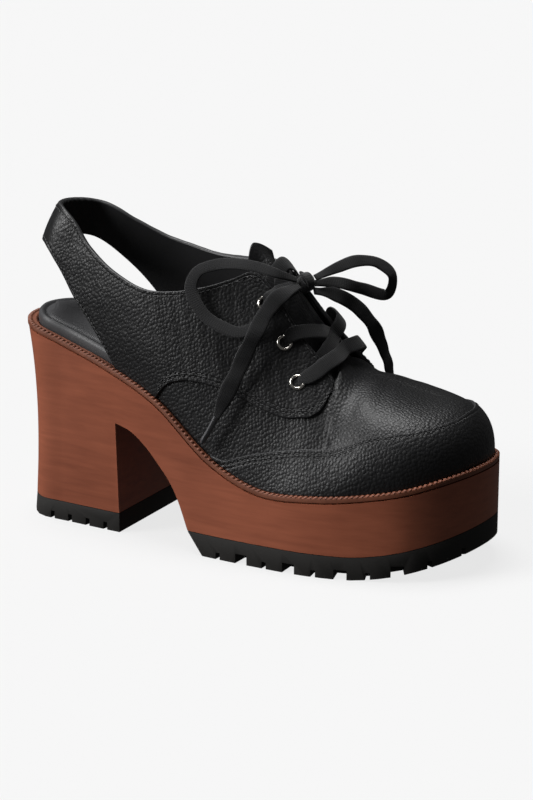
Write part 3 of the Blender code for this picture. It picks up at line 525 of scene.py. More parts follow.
def makeInsoleFinish():
    sizes = finishes["insole"]
    made = Finish("insoleLeather", specular=0.45, coat=0.04)
    fine = made.noise(1100.0, 4.0)
    broad = made.noise(38.0, 3.0)
    creases = made.cells(900.0, "SMOOTH_F1", smooth=0.5)
    # the footbed's black leather is coloured grey: painted sheen; the broad noise is its own uneven tone
    made.colour(made.blend(broad, sizes["dark"], sizes["light"]))
    made.bump(fine * 0.5 + creases * 0.5, 0.12 * mm, 0.6)
    made.roughness(0.44 + fine * 0.14 + broad * 0.06)
    return made.material


def makeMetal():
    made = Finish("nickelRing", metallic=1.0, roughness=0.2)
    made.colour((0.80, 0.76, 0.70))
    scratches = made.noise(2200.0, 3.0)
    made.bump(scratches, 0.02 * mm, 0.4)
    made.roughness(0.16 + scratches * 0.12)
    return made.material


def makeLaceFinish():
    # woven flat cotton: u runs across, v along, both in millimetres
    sizes = finishes["lace"]
    made = Finish("wovenLace", roughness=0.86, sheen=0.25, specular=0.25)
    across, along = made.uv("X"), made.uv("Y")
    ribs = ((along * 6.2 + (across * 7.5).sine() * 1.2).sine() * 0.5 + 0.5)
    warp = ((across * 8.4).sine() * 0.5 + 0.5)
    fluff = made.noise(1900.0, 3.0)
    height = ribs * 0.6 + warp * 0.3 + fluff * 0.4
    made.bump(height, 0.16 * mm, 0.8)
    made.colour(made.blend((height * 0.75).clamped(), sizes["dark"], sizes["light"]))
    made.roughness(0.80 + fluff * 0.12)
    return made.material


def makeThread():
    made = Finish("blackThread", roughness=0.55, sheen=0.2)
    made.colour((0.020, 0.020, 0.021))
    made.bump(made.noise(3500.0, 2.0), 0.05 * mm, 0.7)
    return made.material


def makeTipFinish():
    made = Finish("smokyTip", roughness=0.25, coat=0.5, coatRoughness=0.1)
    streak = made.noise(700.0, 2.0, 0.5, made.place(scale=(1.0, 1.0, 0.2)))
    made.colour(made.blend(streak, (0.035, 0.035, 0.038), (0.11, 0.11, 0.115)))
    made.roughness(0.22 + streak * 0.15)
    return made.material


def makeCutEdge():
    made = Finish("inkedEdge", roughness=0.48, specular=0.55)
    fine = made.noise(1600.0, 3.0)
    made.colour(made.blend(fine, (0.014, 0.014, 0.015), (0.034, 0.034, 0.036)))
    made.bump(fine, 0.06 * mm, 0.6)
    return made.material


leather, lining, wood = makeLeather(), makeLining(), makeWood()
weltFinish, rubber, insoleFinish = makeWeltFinish(), makeRubber(), makeInsoleFinish()
metal, laceFinish, thread = makeMetal(), makeLaceFinish(), makeThread()
tipFinish, cutEdge = makeTipFinish(), makeCutEdge()


# Mesh helpers

def makePiece(name, points, faces, materials, replaced=(), kinds=None, sharp=40.0, uv=None,
              attributes=None, weld=1e-6):
    mesh = bpy.data.meshes.new(name)
    mesh.from_pydata([tuple(p) for p in points], [], [tuple(int(i) for i in f) for f in faces])
    for material in materials:
        mesh.materials.append(material)
    if kinds is not None:
        mesh.polygons.foreach_set("material_index", np.asarray(kinds, np.int32))
    for label, values in (attributes or {}).items():
        layer = mesh.attributes.new(label, "FLOAT", "POINT")
        layer.data.foreach_set("value", np.asarray(values, np.float32))
    if uv is not None:
        layer = mesh.uv_layers.new(name="UVMap")
        corners = np.empty(len(mesh.loops), np.int32)
        mesh.loops.foreach_get("vertex_index", corners)
        layer.data.foreach_set("uv", np.asarray(uv, np.float32)[corners].ravel())
    tidy = bmesh.new()
    tidy.from_mesh(mesh)
    bmesh.ops.remove_doubles(tidy, verts=tidy.verts, dist=weld)
    bmesh.ops.dissolve_degenerate(tidy, edges=tidy.edges, dist=weld)
    if tidy.calc_volume(signed=True) < 0.0:
        bmesh.ops.reverse_faces(tidy, faces=tidy.faces)
    tidy.to_mesh(mesh)
    tidy.free()
    mesh.polygons.foreach_set("use_smooth", [True] * len(mesh.polygons))
    mesh.set_sharp_from_angle(angle=math.radians(sharp))
    thing = bpy.data.objects.new(name, mesh)
    scene.collection.objects.link(thing)
    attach(thing, "root")
    if replaced:
        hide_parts(*replaced)
    return thing


def shell(inner, outer, bulge=0.5, rimSteps=5, joins=None):
    # closed wall between two equal grids, its rim rounded; kinds: 0 outside, 1 inside, 2 rim
    rows, columns = inner.shape[:2]
    size = rows * columns
    points = [inner.reshape(-1, 3), outer.reshape(-1, 3)]
    r, c = np.meshgrid(np.arange(rows - 1), np.arange(columns - 1), indexing="ij")
    a = (r * columns + c).ravel()
    quads = np.stack((a, a + 1, a + columns + 1, a + columns), axis=1)
    faces = [*(quads + size), *quads[:, ::-1]]
    kinds = [0] * len(quads) + [1] * len(quads)
    rim = [(0, c) for c in range(columns)] + [(r, columns - 1) for r in range(1, rows)]
    rim += [(rows - 1, c) for c in range(columns - 2, -1, -1)] + [(r, 0) for r in range(rows - 2, 0, -1)]
    middle = 0.5 * (inner + outer)
    half = 0.5 * (outer - inner)
    outward = np.zeros_like(middle)
    outward[0] += middle[0] - middle[1]
    outward[-1] += middle[-1] - middle[-2]
    outward[:, 0] += middle[:, 0] - middle[:, 1]
    outward[:, -1] += middle[:, -1] - middle[:, -2]
    length = np.linalg.norm(outward, axis=-1)[..., None]
    outward /= np.where(length > 0, length, 1.0)
    arcs = []
    base = 2 * size
    for spot in rim:
        reach = np.linalg.norm(half[spot]) * bulge
        arc = [size + spot[0] * columns + spot[1]]
        for k in range(1, rimSteps):
            angle = math.pi * k / rimSteps
            points.append((middle[spot] + half[spot] * math.cos(angle)
                           + outward[spot] * reach * math.sin(angle))[None])
            arc.append(base)
            base += 1
        arc.append(spot[0] * columns + spot[1])
        arcs.append(arc)
    for here in range(len(rim)):
        there = (here + 1) % len(rim)
        onTop = rim[here][0] == rim[there][0] == rows - 1
        if onTop and joins is not None and joins[rim[here][1]] and joins[rim[there][1]]:
            continue
        for k in range(rimSteps):
            faces.append((arcs[here][k], arcs[there][k], arcs[there][k + 1], arcs[here][k + 1]))
            kinds.append(2)
    return np.concatenate(points), faces, kinds


def nodeTree(name, sockets):
    tree = bpy.data.node_groups.new(name, "GeometryNodeTree")
    tree.interface.new_socket("Geometry", in_out="INPUT", socket_type="NodeSocketGeometry")
    named = {}
    for label, kind in sockets:
        named[label] = tree.interface.new_socket(label, in_out="INPUT", socket_type=kind).identifier
    tree.interface.new_socket("Geometry", in_out="OUTPUT", socket_type="NodeSocketGeometry")
    return tree, named


def makeRepeatTree():
    # beads of one size set along a line, each turned to the line and to its outward side
    tree, named = nodeTree("beadsAlongLine", (
        ("Pitch", "NodeSocketFloat"), ("Length", "NodeSocketFloat"), ("Width", "NodeSocketFloat"),
        ("Height", "NodeSocketFloat"), ("Finish", "NodeSocketMaterial")))
    nodes, links = tree.nodes, tree.links
    source, result = nodes.new("NodeGroupInput"), nodes.new("NodeGroupOutput")
    toCurve = nodes.new("GeometryNodeMeshToCurve")
    resample = nodes.new("GeometryNodeResampleCurve")
    resample.mode = "LENGTH"
    tangent = nodes.new("GeometryNodeInputTangent")
    outward = nodes.new("GeometryNodeInputNamedAttribute")
    outward.data_type = "FLOAT_VECTOR"
    outward.inputs["Name"].default_value = "outward"
    alongLine = nodes.new("FunctionNodeAlignRotationToVector")
    alongLine.axis = "X"
    facing = nodes.new("FunctionNodeAlignRotationToVector")
    facing.axis = "Z"
    facing.pivot_axis = "X"
    bead = nodes.new("GeometryNodeMeshUVSphere")
    bead.inputs["Segments"].default_value = 8
    bead.inputs["Rings"].default_value = 5
    bead.inputs["Radius"].default_value = 0.5
    sizes = nodes.new("ShaderNodeCombineXYZ")
    instance = nodes.new("GeometryNodeInstanceOnPoints")
    realize = nodes.new("GeometryNodeRealizeInstances")
    smooth = nodes.new("GeometryNodeSetShadeSmooth")
    paint = nodes.new("GeometryNodeSetMaterial")
    for start, end in (
            (source.outputs["Geometry"], toCurve.inputs["Mesh"]),
            (toCurve.outputs["Curve"], resample.inputs["Curve"]),
            (source.outputs["Pitch"], resample.inputs["Length"]),
            (tangent.outputs["Tangent"], alongLine.inputs["Vector"]),
            (alongLine.outputs["Rotation"], facing.inputs["Rotation"]),
            (outward.outputs["Attribute"], facing.inputs["Vector"]),
            (source.outputs["Length"], sizes.inputs["X"]),
            (source.outputs["Width"], sizes.inputs["Y"]),
            (source.outputs["Height"], sizes.inputs["Z"]),
            (resample.outputs["Curve"], instance.inputs["Points"]),
            (bead.outputs["Mesh"], instance.inputs["Instance"]),
            (facing.outputs["Rotation"], instance.inputs["Rotation"]),
            (sizes.outputs["Vector"], instance.inputs["Scale"]),
            (instance.outputs["Instances"], realize.inputs["Geometry"]),
            (realize.outputs["Geometry"], smooth.inputs["Geometry"]),
            (smooth.outputs["Geometry"], paint.inputs["Geometry"]),
            (source.outputs["Finish"], paint.inputs["Material"]),
            (paint.outputs["Geometry"], result.inputs["Geometry"])):
        links.new(start, end)
    return tree, named


beadTree, beadSockets = makeRepeatTree()


def beadsAlong(name, lines, sizes, material):
    # lines: pairs of points and outward directions, one pair for each row of beads
    mesh = bpy.data.meshes.new(name + "Lines")
    points, edges, outward, start = [], [], [], 0
    for line, out in lines:
        points += [tuple(p) for p in line]
        outward += [tuple(v) for v in out]
        edges += [(start + i, start + i + 1) for i in range(len(line) - 1)]
        start += len(line)
    mesh.from_pydata(points, edges, [])
    layer = mesh.attributes.new("outward", "FLOAT_VECTOR", "POINT")
    layer.data.foreach_set("vector", np.asarray(outward, np.float32).ravel())
    guide = bpy.data.objects.new(name + "Lines", mesh)
    scene.collection.objects.link(guide)
    modifier = guide.modifiers.new("beads", "NODES")
    modifier.node_group = beadTree
    for label, value in (("Pitch", sizes["pitch"]), ("Length", sizes["length"]),
                         ("Width", sizes["width"]), ("Height", sizes["height"]), ("Finish", material)):
        modifier[beadSockets[label]] = value
    graph = bpy.context.evaluated_depsgraph_get()
    made = bpy.data.meshes.new_from_object(guide.evaluated_get(graph))
    bpy.data.objects.remove(guide)
    thing = bpy.data.objects.new(name, made)
    scene.collection.objects.link(thing)
    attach(thing, "root")
    return thing


# Lace: cords first, because their room is checked

print("Laces")
lace = {
    "width": 7.3 * mm,
    "thickness": 1.1 * mm,
    "loopWidth": 0.78,              # share of its width that a loop keeps, drawn together
    "wave": 0.10,                   # how far the flat side rocks along a strand
    "pitch": 1.1 * mm,              # step along a ribbon
    "knot": (0.0282, -0.0070, 0.1234),
    "knotSize": (4.3 * mm, 4.0 * mm, 4.7 * mm),
}
# routes of the bow, from the knot out, with the way the flat side looks at a few of their points
bowRoutes = {
    "lace_loop_outer": (
        (0.0256, -0.0111, 0.1253), (0.0202, -0.0190, 0.1290), (0.0108, -0.0220, 0.1318),
        (0.0010, -0.0245, 0.1328), (-0.0081, -0.0278, 0.1318), (-0.0148, -0.0306, 0.1285),
        (-0.0166, -0.0330, 0.1230), (-0.0132, -0.0350, 0.1158), (-0.0076, -0.0357, 0.1098),
        (-0.0004, -0.0352, 0.1060), (0.0082, -0.0334, 0.1036), (0.0143, -0.0294, 0.1063),
        (0.0192, -0.0264, 0.1124), (0.0233, -0.0205, 0.1178), (0.0266, -0.0115, 0.1207)),
    "lace_loop_inner": (
        (0.0313, -0.0031, 0.1252), (0.0380, 0.0055, 0.1288), (0.0444, 0.0155, 0.1309),
        (0.0508, 0.0225, 0.1292), (0.0566, 0.0262, 0.1232), (0.0550, 0.0258, 0.1146),
        (0.0436, 0.0215, 0.1166), (0.0362, 0.0115, 0.1206), (0.0306, -0.0020, 0.1224)),
    "lace_end_outer": (
        (0.0273, -0.0122, 0.1229), (0.0250, -0.0203, 0.1212), (0.0223, -0.0240, 0.1186),
        (0.0191, -0.0287, 0.1127), (0.0165, -0.0342, 0.1040), (0.0131, -0.0378, 0.0944),
        (0.0090, -0.0408, 0.0834), (0.0050, -0.0446, 0.0724), (0.0028, -0.0464, 0.0660)),
    "lace_end_inner": (
        (0.0319, -0.0055, 0.1197), (0.0380, 0.0030, 0.1170), (0.0444, 0.0122, 0.1106),
        (0.0495, 0.0190, 0.1014), (0.0522, 0.0240, 0.0918), (0.0530, 0.0290, 0.0832),
        (0.0530, 0.0335, 0.0758), (0.0524, 0.0390, 0.0690)),
    "lace_lead_outer": (
        (0.0238, -0.0098, 0.1230), (0.0205, -0.0140, 0.1216), (0.0180, -0.0185, 0.1190)),
    "lace_lead_inner": (
        (0.0251, -0.0028, 0.1232), (0.0215, 0.0060, 0.1240), (0.0182, 0.0122, 0.1218)),
}
bowFacing = {
    "lace_loop_outer": ((0.0, (0.4, -0.6, 0.7)), (0.25, (0.35, -0.75, 0.55)), (0.45, (0.15, -0.85, 0.5)),
                        (0.6, (0.35, -0.75, 0.55)), (0.8, (0.45, -0.75, 0.5)), (1.0, (0.5, -0.6, 0.6))),
    "lace_loop_inner": ((0.0, (0.35, -0.7, 0.6)), (0.25, (0.45, -0.75, 0.5)), (0.45, (0.95, -0.25, 0.35)),
                        (0.6, (0.75, -0.60, -0.1)), (0.8, (0.45, -0.75, 0.45)), (1.0, (0.45, -0.7, 0.5))),
    "lace_end_outer": ((0.0, (0.4, -0.5, 0.8)), (0.3, (0.5, -0.8, 0.4)), (1.0, (0.4, -0.9, 0.3))),
    "lace_end_inner": ((0.0, (0.4, -0.6, 0.7)), (0.4, (0.6, -0.6, 0.5)), (1.0, (0.85, -0.2, 0.4))),
    "lace_lead_outer": ((0.0, (0.3, -0.5, 0.8)), (0.6, (0.3, -0.6, 0.7)), (1.0, (0.9, 0.2, 0.2))),
    "lace_lead_inner": ((0.0, (0.3, 0.2, 0.9)), (0.6, (0.3, 0.5, 0.8)), (1.0, (0.9, -0.2, 0.2))),
}
tipRoutes = {
    "lace_tip_outer": ((0.0030, -0.0463, 0.0668), (0.0005, -0.0478, 0.0610), (-0.0030, -0.0492, 0.0545)),
    "lace_tip_inner": ((0.0525, 0.0394, 0.0686), (0.0524, 0.0440, 0.0620), (0.0520, 0.0476, 0.0540)),
}


def smoothRoute(points, step):
    points = np.array(points, float)
    reach = np.concatenate(([0.0], np.cumsum(np.linalg.norm(np.diff(points, axis=0), axis=1))))
    at = np.linspace(0.0, reach[-1], max(int(round(reach[-1] / step)), 4) + 1)
    return np.stack([curveThrough(reach, points[:, axis], at) for axis in range(3)], axis=1)


def unit(vectors):
    return vectors / np.maximum(np.linalg.norm(vectors, axis=-1), 1e-9)[..., None]


def facingAlong(keys, count):
    at = np.linspace(0.0, 1.0, count)
    places = [key[0] for key in keys]
    return unit(np.stack([curveThrough(places, [key[1][a] for key in keys], at) for a in range(3)], axis=1))


def ribbon(centres, facing, widths, thickness, crossSteps=5):
    # flat woven band with rounded edges; returns points, faces and its u and v in millimetres
    tangents = unit(np.gradient(centres, axis=0))
    across = unit(np.cross(facing, tangents))
    upward = np.cross(tangents, across)
    profile = []
    for angle in np.linspace(0.0, 2.0 * math.pi, 4 * crossSteps, endpoint=False):
        c, s = math.cos(angle), math.sin(angle)
        profile.append((math.copysign(abs(c) ** 0.45, c), math.copysign(abs(s) ** 0.8, s)))
    count = len(profile)
    rings, uv = [], []
    reach = np.concatenate(([0.0], np.cumsum(np.linalg.norm(np.diff(centres, axis=0), axis=1)))) / mm
    for k, centre in enumerate(centres):
        for side, lift in profile:
            rings.append(centre + across[k] * side * 0.5 * widths[k] + upward[k] * lift * 0.5 * thickness)
            uv.append((side * 0.5 * widths[k] / mm, reach[k]))
    faces = []
    for k in range(len(centres) - 1):
        for i in range(count):
            j = (i + 1) % count
            faces.append((k * count + i, k * count + j, (k + 1) * count + j, (k + 1) * count + i))
    faces.append(tuple(range(count - 1, -1, -1)))
    faces.append(tuple(range((len(centres) - 1) * count, len(centres) * count)))
    return np.array(rings), faces, np.array(uv)


def makeBow():
    made = {}
    ends = {name: frames for name, frames in eyeletFrames().items() if name.startswith("top")}
    for place, (name, route) in enumerate(bowRoutes.items()):
        if "lead" in name:
            centre, out = ends["top_" + name.split("_")[-1]]
            route = (*route[:-1], centre + out * 3.2 * mm, centre + out * 1.4 * mm, centre - out * 2.0 * mm)
        centres = smoothRoute(route, lace["pitch"])
        count = len(centres)
        share = np.linspace(0.0, 1.0, count)
        squeeze = 0.55 + 0.45 * smoothStep(0.0, 0.16, share)
        if "loop" in name:
            squeeze = squeeze * (0.55 + 0.45 * smoothStep(0.0, 0.14, 1.0 - share)) * lace["loopWidth"]
        if "lead" in name:
            squeeze = 0.50 + 0.35 * np.sin(math.pi * share) ** 2
        if "end" in name:
            squeeze = squeeze * (0.42 + 0.58 * smoothStep(0.0, 0.14, 1.0 - share))
        widths = lace["width"] * squeeze * (1.0 + 0.05 * np.sin(share * 31.0 + place))
        facing = facingAlong(bowFacing[name], count)
        rock = lace["wave"] * np.sin(share * 19.0 + 2.1 * place) + 0.5 * lace["wave"] * np.sin(share * 43.0)
        sideways = unit(np.cross(facing, unit(np.gradient(centres, axis=0))))
        facing = unit(facing + sideways * rock[:, None])
        points, faces, uv = ribbon(centres, facing, widths, lace["thickness"])
        piece = makePiece(name + "_flat", points, faces, [laceFinish], [name], uv=uv, sharp=60)
        made[name] = (piece, centres)
    return made


def makeKnot():
    # three bands wound round the knot's centre
    centre = np.array(lace["knot"])
    points, faces, uvs = [], [], []
    base = 0
    turns = np.linspace(0.0, 2.0 * math.pi, 49)
    bands = (((0.2, 0.95, 0.1), 1.0, 0.0), ((0.75, -0.35, 0.55), 0.93, 0.4), ((0.9, 0.3, -0.2), 0.86, 1.3))
    for axis, share, shift in bands:
        axis = unit(np.array(axis))
        first = unit(np.cross(axis, (0.3, 0.2, 0.9)))
        second = np.cross(axis, first)
        sizes = np.array(lace["knotSize"]) * share
        ring = np.cos(turns + shift)[:, None] * first + np.sin(turns + shift)[:, None] * second
        wave = np.sin(turns * 2.0 + shift)[:, None] * axis * 0.12
        centres = centre + (ring * 0.82 + wave) * sizes
        ringPoints, ringFaces, ringUv = ribbon(centres, ring, np.full(len(turns), 4.8 * mm), 1.4 * mm)
        points.append(ringPoints)
        faces += [tuple(base + i for i in face) for face in ringFaces]
        uvs.append(ringUv)
        base += len(ringPoints)
    return makePiece("lace_knot_wound", np.concatenate(points), faces, [laceFinish],
                     ["lace_knot"], uv=np.concatenate(uvs), sharp=60)


def makeTips():
    made = {}
    for name, route in tipRoutes.items():
        centres = smoothRoute(route, 0.8 * mm)
        tangents = unit(np.gradient(centres, axis=0))
        facing = unit(np.cross(tangents, (0.4, 0.3, 0.2)))
        widths = np.full(len(centres), 2.5 * mm)
        widths[-2:] *= (0.85, 0.55)
        points, faces, uv = ribbon(centres, facing, widths, 1.9 * mm)
        made[name] = makePiece(name + "_wrap", points, faces, [tipFinish], [name], uv=uv, sharp=50)
    return made


bow = makeBow()
knot = makeKnot()
tips = makeTips()

# Sole

print("Sole")
sole = {
    "stations": 180,
    "levels": 26,
    "heelTread": 9.3 * mm,
    "forefootTread": 10.5 * mm,
    "waist": 5.0 * mm,
    "drawIn": 3.2 * mm,
    "breastWidth": 0.069,
    "heelCentreX": -0.086,
    "breastX": -0.055,
    "archEndX": -0.012,
    "archToeRun": 8.0 * mm,
    "archHeight": 54.4 * mm,
    "edge": 0.5 * mm,
}
heelRows = ((0.00, 0.00), (0.10, 0.34), (0.25, 0.72), (0.48, 1.00), (0.77, 0.92), (1.00, 0.62))
archRows = ((0.00, 1.000), (0.23, 0.954), (0.58, 0.741), (0.86, 0.456), (1.00, 0.193))


def spread(back, front, count):
    return back + (front - back) * (0.5 - 0.5 * np.cos(np.linspace(0.0, math.pi, count + 1)))


def ringOf(outline, places, height, shape=None):
    outer = np.stack((places, outline.side(places, False), height(places)), axis=1)
    inner = np.stack((places, outline.side(places, True), height(places)), axis=1)
    ring = np.concatenate((outer, inner[-2:0:-1]))
    return ring if shape is None else shape(ring)


def loftRings(rings):
    count = len(rings[0])
    faces = []
    for level in range(len(rings) - 1):
        for i in range(count):
            j = (i + 1) % count
            faces.append((level * count + i, level * count + j, (level + 1) * count + j,
                          (level + 1) * count + i))
    for base in (0, (len(rings) - 1) * count):
        for i in range(count // 2):
            j = (count - i) % count
            faces.append((base + i, base + i + 1, base + (j - 1) % count, base + j))
    return np.concatenate(rings), faces


def woodTop(x):
    return edgeHeight(x) - shoe["weltThickness"] - shoe["seatGap"]


def woodFoot(x):
    underHeel = sole["heelTread"] + shoe["seatGap"] + 0 * x
    underBall = treadHeight(x) + sole["forefootTread"] + shoe["seatGap"]
    return np.where(x < 0.5 * (sole["breastX"] + sole["archEndX"]), underHeel, underBall)


def shapeHeel(ring):
    ring = ring.copy()
    x, y, z = ring[:, 0], ring[:, 1], ring[:, 2]
    high, low = edgeHeight(x), sole["heelTread"] + shoe["seatGap"]
    drop = np.clip((high - z) / (high - low), 0.0, 1.0)
    curveIn = curveThrough([row[0] for row in heelRows], [row[1] for row in heelRows], drop)
    behind = np.clip((sole["heelCentreX"] - x) / (sole["heelCentreX"] + 0.5 * shoe["length"]), 0.0, 1.0)
    toBreast = np.clip((x - sole["heelCentreX"]) / (sole["breastX"] - sole["heelCentreX"]), 0.0, 1.0)
    toPlatform = np.clip((sole["archEndX"] - x) / (sole["archEndX"] - sole["breastX"]), 0.0, 1.0)
    drawIn = sole["drawIn"] * drop * toBreast * toPlatform / (0.5 * sole["breastWidth"])
    ring[:, 0] = x + sole["waist"] * curveIn * behind
    ring[:, 1] = shoe["axisY"] + (y - shoe["axisY"]) * (1.0 - drawIn)
    return ring


def bareObject(name, points, faces):
    mesh = bpy.data.meshes.new(name)
    mesh.from_pydata([tuple(p) for p in points], [], [tuple(f) for f in faces])
    tidy = bmesh.new()
    tidy.from_mesh(mesh)
    bmesh.ops.remove_doubles(tidy, verts=tidy.verts, dist=1e-6)
    bmesh.ops.recalc_face_normals(tidy, faces=tidy.faces)
    tidy.to_mesh(mesh)
    tidy.free()
    thing = bpy.data.objects.new(name, mesh)
    scene.collection.objects.link(thing)
    return thing


def bakeModifiers(thing):
    graph = bpy.context.evaluated_depsgraph_get()
    made = bpy.data.meshes.new_from_object(thing.evaluated_get(graph))
    thing.modifiers.clear()
    thing.data = made


def softenEdges(thing, width, angle=40.0, segments=2):
    bevel = thing.modifiers.new("edge", "BEVEL")
    bevel.width = width
    bevel.segments = segments
    bevel.limit_method = "ANGLE"
    bevel.angle_limit = math.radians(angle)
    bevel.use_clamp_overlap = True
    bevel.harden_normals = False


def dress(thing, material, replaced, sharp=35.0):
    thing.data.materials.clear()
    thing.data.materials.append(material)
    thing.data.polygons.foreach_set("use_smooth", [True] * len(thing.data.polygons))
    thing.data.set_sharp_from_angle(angle=math.radians(sharp))
    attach(thing, "root")
    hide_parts(*replaced)
    return thing


def makeWoodBlock():
    outline = Outline(0.0)
    places = spread(outline.back, outline.front, sole["stations"])
    rings = []
    for drop in np.linspace(0.0, 1.0, sole["levels"]):
        height = lambda x, d=drop: woodTop(x) + (woodFoot(x) - woodTop(x)) * d
        rings.append(ringOf(outline, places, height, shapeHeel))
    block = bareObject("wooden_block", *loftRings(rings))
    along = np.linspace(0.0, 1.0, 41)
    heights = curveThrough([row[0] for row in archRows], [row[1] for row in archRows], along)
    x = sole["breastX"] + along * (sole["archEndX"] - sole["breastX"])
    below = -12.0 * mm
    profile = [(sole["breastX"], below), *zip(x, heights * sole["archHeight"]),
               (sole["archEndX"] + sole["archToeRun"], below)]
    count = len(profile)
    sides = [(px, side, pz) for side in (-shoe["ballWidth"], shoe["ballWidth"]) for px, pz in profile]
    faces = [tuple(range(count)), tuple(range(2 * count - 1, count - 1, -1))]
    faces += [(i, (i + 1) % count, count + (i + 1) % count, count + i) for i in range(count)]
    cutter = bareObject("archCut", sides, faces)
    cut = block.modifiers.new("arch", "BOOLEAN")
    cut.operation = "DIFFERENCE"
    cut.solver = "EXACT"
    cut.object = cutter
    bakeModifiers(block)
    bpy.data.objects.remove(cutter)
    return dress(block, wood, ["wooden_sole"])


def smoothCopy(node, name, material, edge):
    # the node's own mesh, merged and with softened edges
    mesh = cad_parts[node].data.copy()
    tidy = bmesh.new()
    tidy.from_mesh(mesh)
    bmesh.ops.remove_doubles(tidy, verts=tidy.verts, dist=2e-6)
    bmesh.ops.dissolve_limit(tidy, angle_limit=math.radians(0.5), verts=tidy.verts, edges=tidy.edges)
    tidy.to_mesh(mesh)
    tidy.free()
    thing = bpy.data.objects.new(name, mesh)
    scene.collection.objects.link(thing)
    softenEdges(thing, edge)
    bakeModifiers(thing)
    return dress(thing, material, [node])


welt = {"width": 4.5 * mm, "edge": 0.5 * mm, "pitch": 2.35 * mm, "length": 2.1 * mm, "across": 2.5 * mm,
        "height": 1.3 * mm, "inset": 1.15 * mm}


def makeWelt():
    # a flat strip with rounded edges, then the whipped beads along its upper outer edge
    e = welt["edge"]
    thick = shoe["weltThickness"]
    profile = ((0.0, -thick + e), (0.0, -e - 0.25 * mm), (0.3 * e, -0.5 * e), (e, -0.1 * mm),
               (welt["width"] - e, 0.0), (welt["width"], -e), (welt["width"], -thick + e),
               (welt["width"] - e, -thick), (e, -thick))
    rings = []
    for inset, drop in profile:
        outline = Outline(inset)
        places = spread(outline.back, outline.front, sole["stations"])
        rings.append(ringOf(outline, places, lambda x, d=drop: edgeHeight(x) + d))
    count = len(rings[0])
    faces = []
    for level in range(len(rings)):
        low, high = level * count, ((level + 1) % len(rings)) * count
        faces += [(low + i, low + (i + 1) % count, high + (i + 1) % count, high + i) for i in range(count)]
    strip = makePiece("welt_strip", np.concatenate(rings), faces, [weltFinish], ["welt"])
    ring = insetOutline(welt["inset"])
    ring = np.concatenate((ring, ring[:2]))
    line = np.stack((ring[:, 0], ring[:, 1], edgeHeight(ring[:, 0]) - 0.1 * mm), axis=1)
    slope = unit(np.gradient(line, axis=0))
    sideways = unit(np.stack((slope[:, 1], -slope[:, 0], 0 * slope[:, 0]), axis=1))
    outward = unit(np.cross(sideways, slope) + 0.0)
    outward = np.where(outward[:, 2:3] < 0, -outward, outward)
    beads = beadsAlong("welt_whipping", [(line, outward)],
                       {"pitch": welt["pitch"], "length": welt["length"], "width": welt["across"],
                        "height": welt["height"]}, weltFinish)
    return strip, beads


insole = {"inset": 5.3 * mm, "thickness": 7.6 * mm, "dome": 1.2 * mm}


def makeInsole():
    # padded footbed: rolled rim, sewn groove, and a slightly domed middle
    rim = ((0.35, 0.00), (0.00, 0.12), (-0.10, 0.40), (0.10, 0.70), (0.55, 0.88), (1.20, 0.97),
           (2.00, 0.98), (2.70, 0.93), (3.15, 0.82), (3.45, 0.80), (3.85, 0.86), (4.6, 0.95), (6.0, 1.0))
    rings = []
    for inset, share in rim:
        outline = Outline(insole["inset"] + inset * mm)
        places = spread(outline.back, outline.front, sole["stations"])
        height = lambda x, s=share: woodTop(x) + shoe["seatGap"] + s * insole["thickness"]
        rings.append(ringOf(outline, places, height))
    count = len(rings[0])
    points = [np.concatenate(rings)]
    faces = []
    for level in range(len(rings) - 1):
        for i in range(count):
            j = (i + 1) % count
            faces.append((level * count + i, level * count + j, (level + 1) * count + j,
                          (level + 1) * count + i))
    for i in range(count // 2):
        j = (count - i) % count
        faces.append((i, i + 1, (j - 1) % count, j))
    top, steps = rings[-1], 12
    base, start = len(points[0]), (len(rings) - 1) * count
    half = count // 2
    for i in range(1, half):
        outer, inner = top[i], top[count - i]
        for k in range(1, steps):
            t = k / steps
            bow = 4.0 * t * (1.0 - t)
            points.append((outer + (inner - outer) * t + np.array((0, 0, insole["dome"] * bow)))[None])

    def spot(i, k):
        if i in (0, half):
            return start + i
        if k == 0:
            return start + i
        if k == steps:
            return start + (count - i) % count
        return base + (i - 1) * (steps - 1) + k - 1

    for i in range(half):
        for k in range(steps):
            quad = [spot(i, k), spot(i + 1, k), spot(i + 1, k + 1), spot(i, k + 1)]
            quad = [q for n, q in enumerate(quad) if q not in quad[:n]]
            if len(quad) > 2:
                faces.append(tuple(quad))
    pad = makePiece("padded_footbed", np.concatenate(points), faces, [insoleFinish], ["insole"])
    return pad


woodBlock = makeWoodBlock()
weltStrip, weltBeads = makeWelt()
footbed = makeInsole()
forefootTread = smoothCopy("forefoot_tread", "forefoot_lugs", rubber, 0.35 * mm)
heelTread = smoothCopy("heel_tread", "heel_lugs", rubber, 0.35 * mm)

# Upper

print("Upper")
upper = {
    "mudguardRoot": 0.8 * mm,
    "mudguardWall": 1.8 * mm,
    "facingTop": 0.545,
    "throat": 0.745,
    "vampBack": 0.335,
    "underlap": 0.07,
    "rows": 34,
}
strapRows = (
    (0.000, 0.335, 0.335), (0.036, 0.345, 0.331), (0.082, 0.285, 0.305), (0.133, 0.190, 0.255),
    (0.181, 0.115, 0.185), (0.214, 0.065, 0.120), (0.240, 0.025, 0.050), (0.258, 0.000, 0.000))
collarRows = (
    (0.000, 0.530, 0.530), (0.040, 0.535, 0.520), (0.085, 0.500, 0.505), (0.160, 0.400, 0.455),
    (0.240, 0.342, 0.420), (0.310, 0.362, 0.460), (0.375, 0.455, 0.535), (0.440, 0.580, 0.640),
    (0.500, 0.700, 0.735), (0.545, 0.780, 0.790), (0.600, 0.765, 0.770), (0.640, 0.740, 0.745),
    (0.680, 0.725, 0.730), (0.720, 0.725, 0.730), (0.742, 0.715, 0.715))
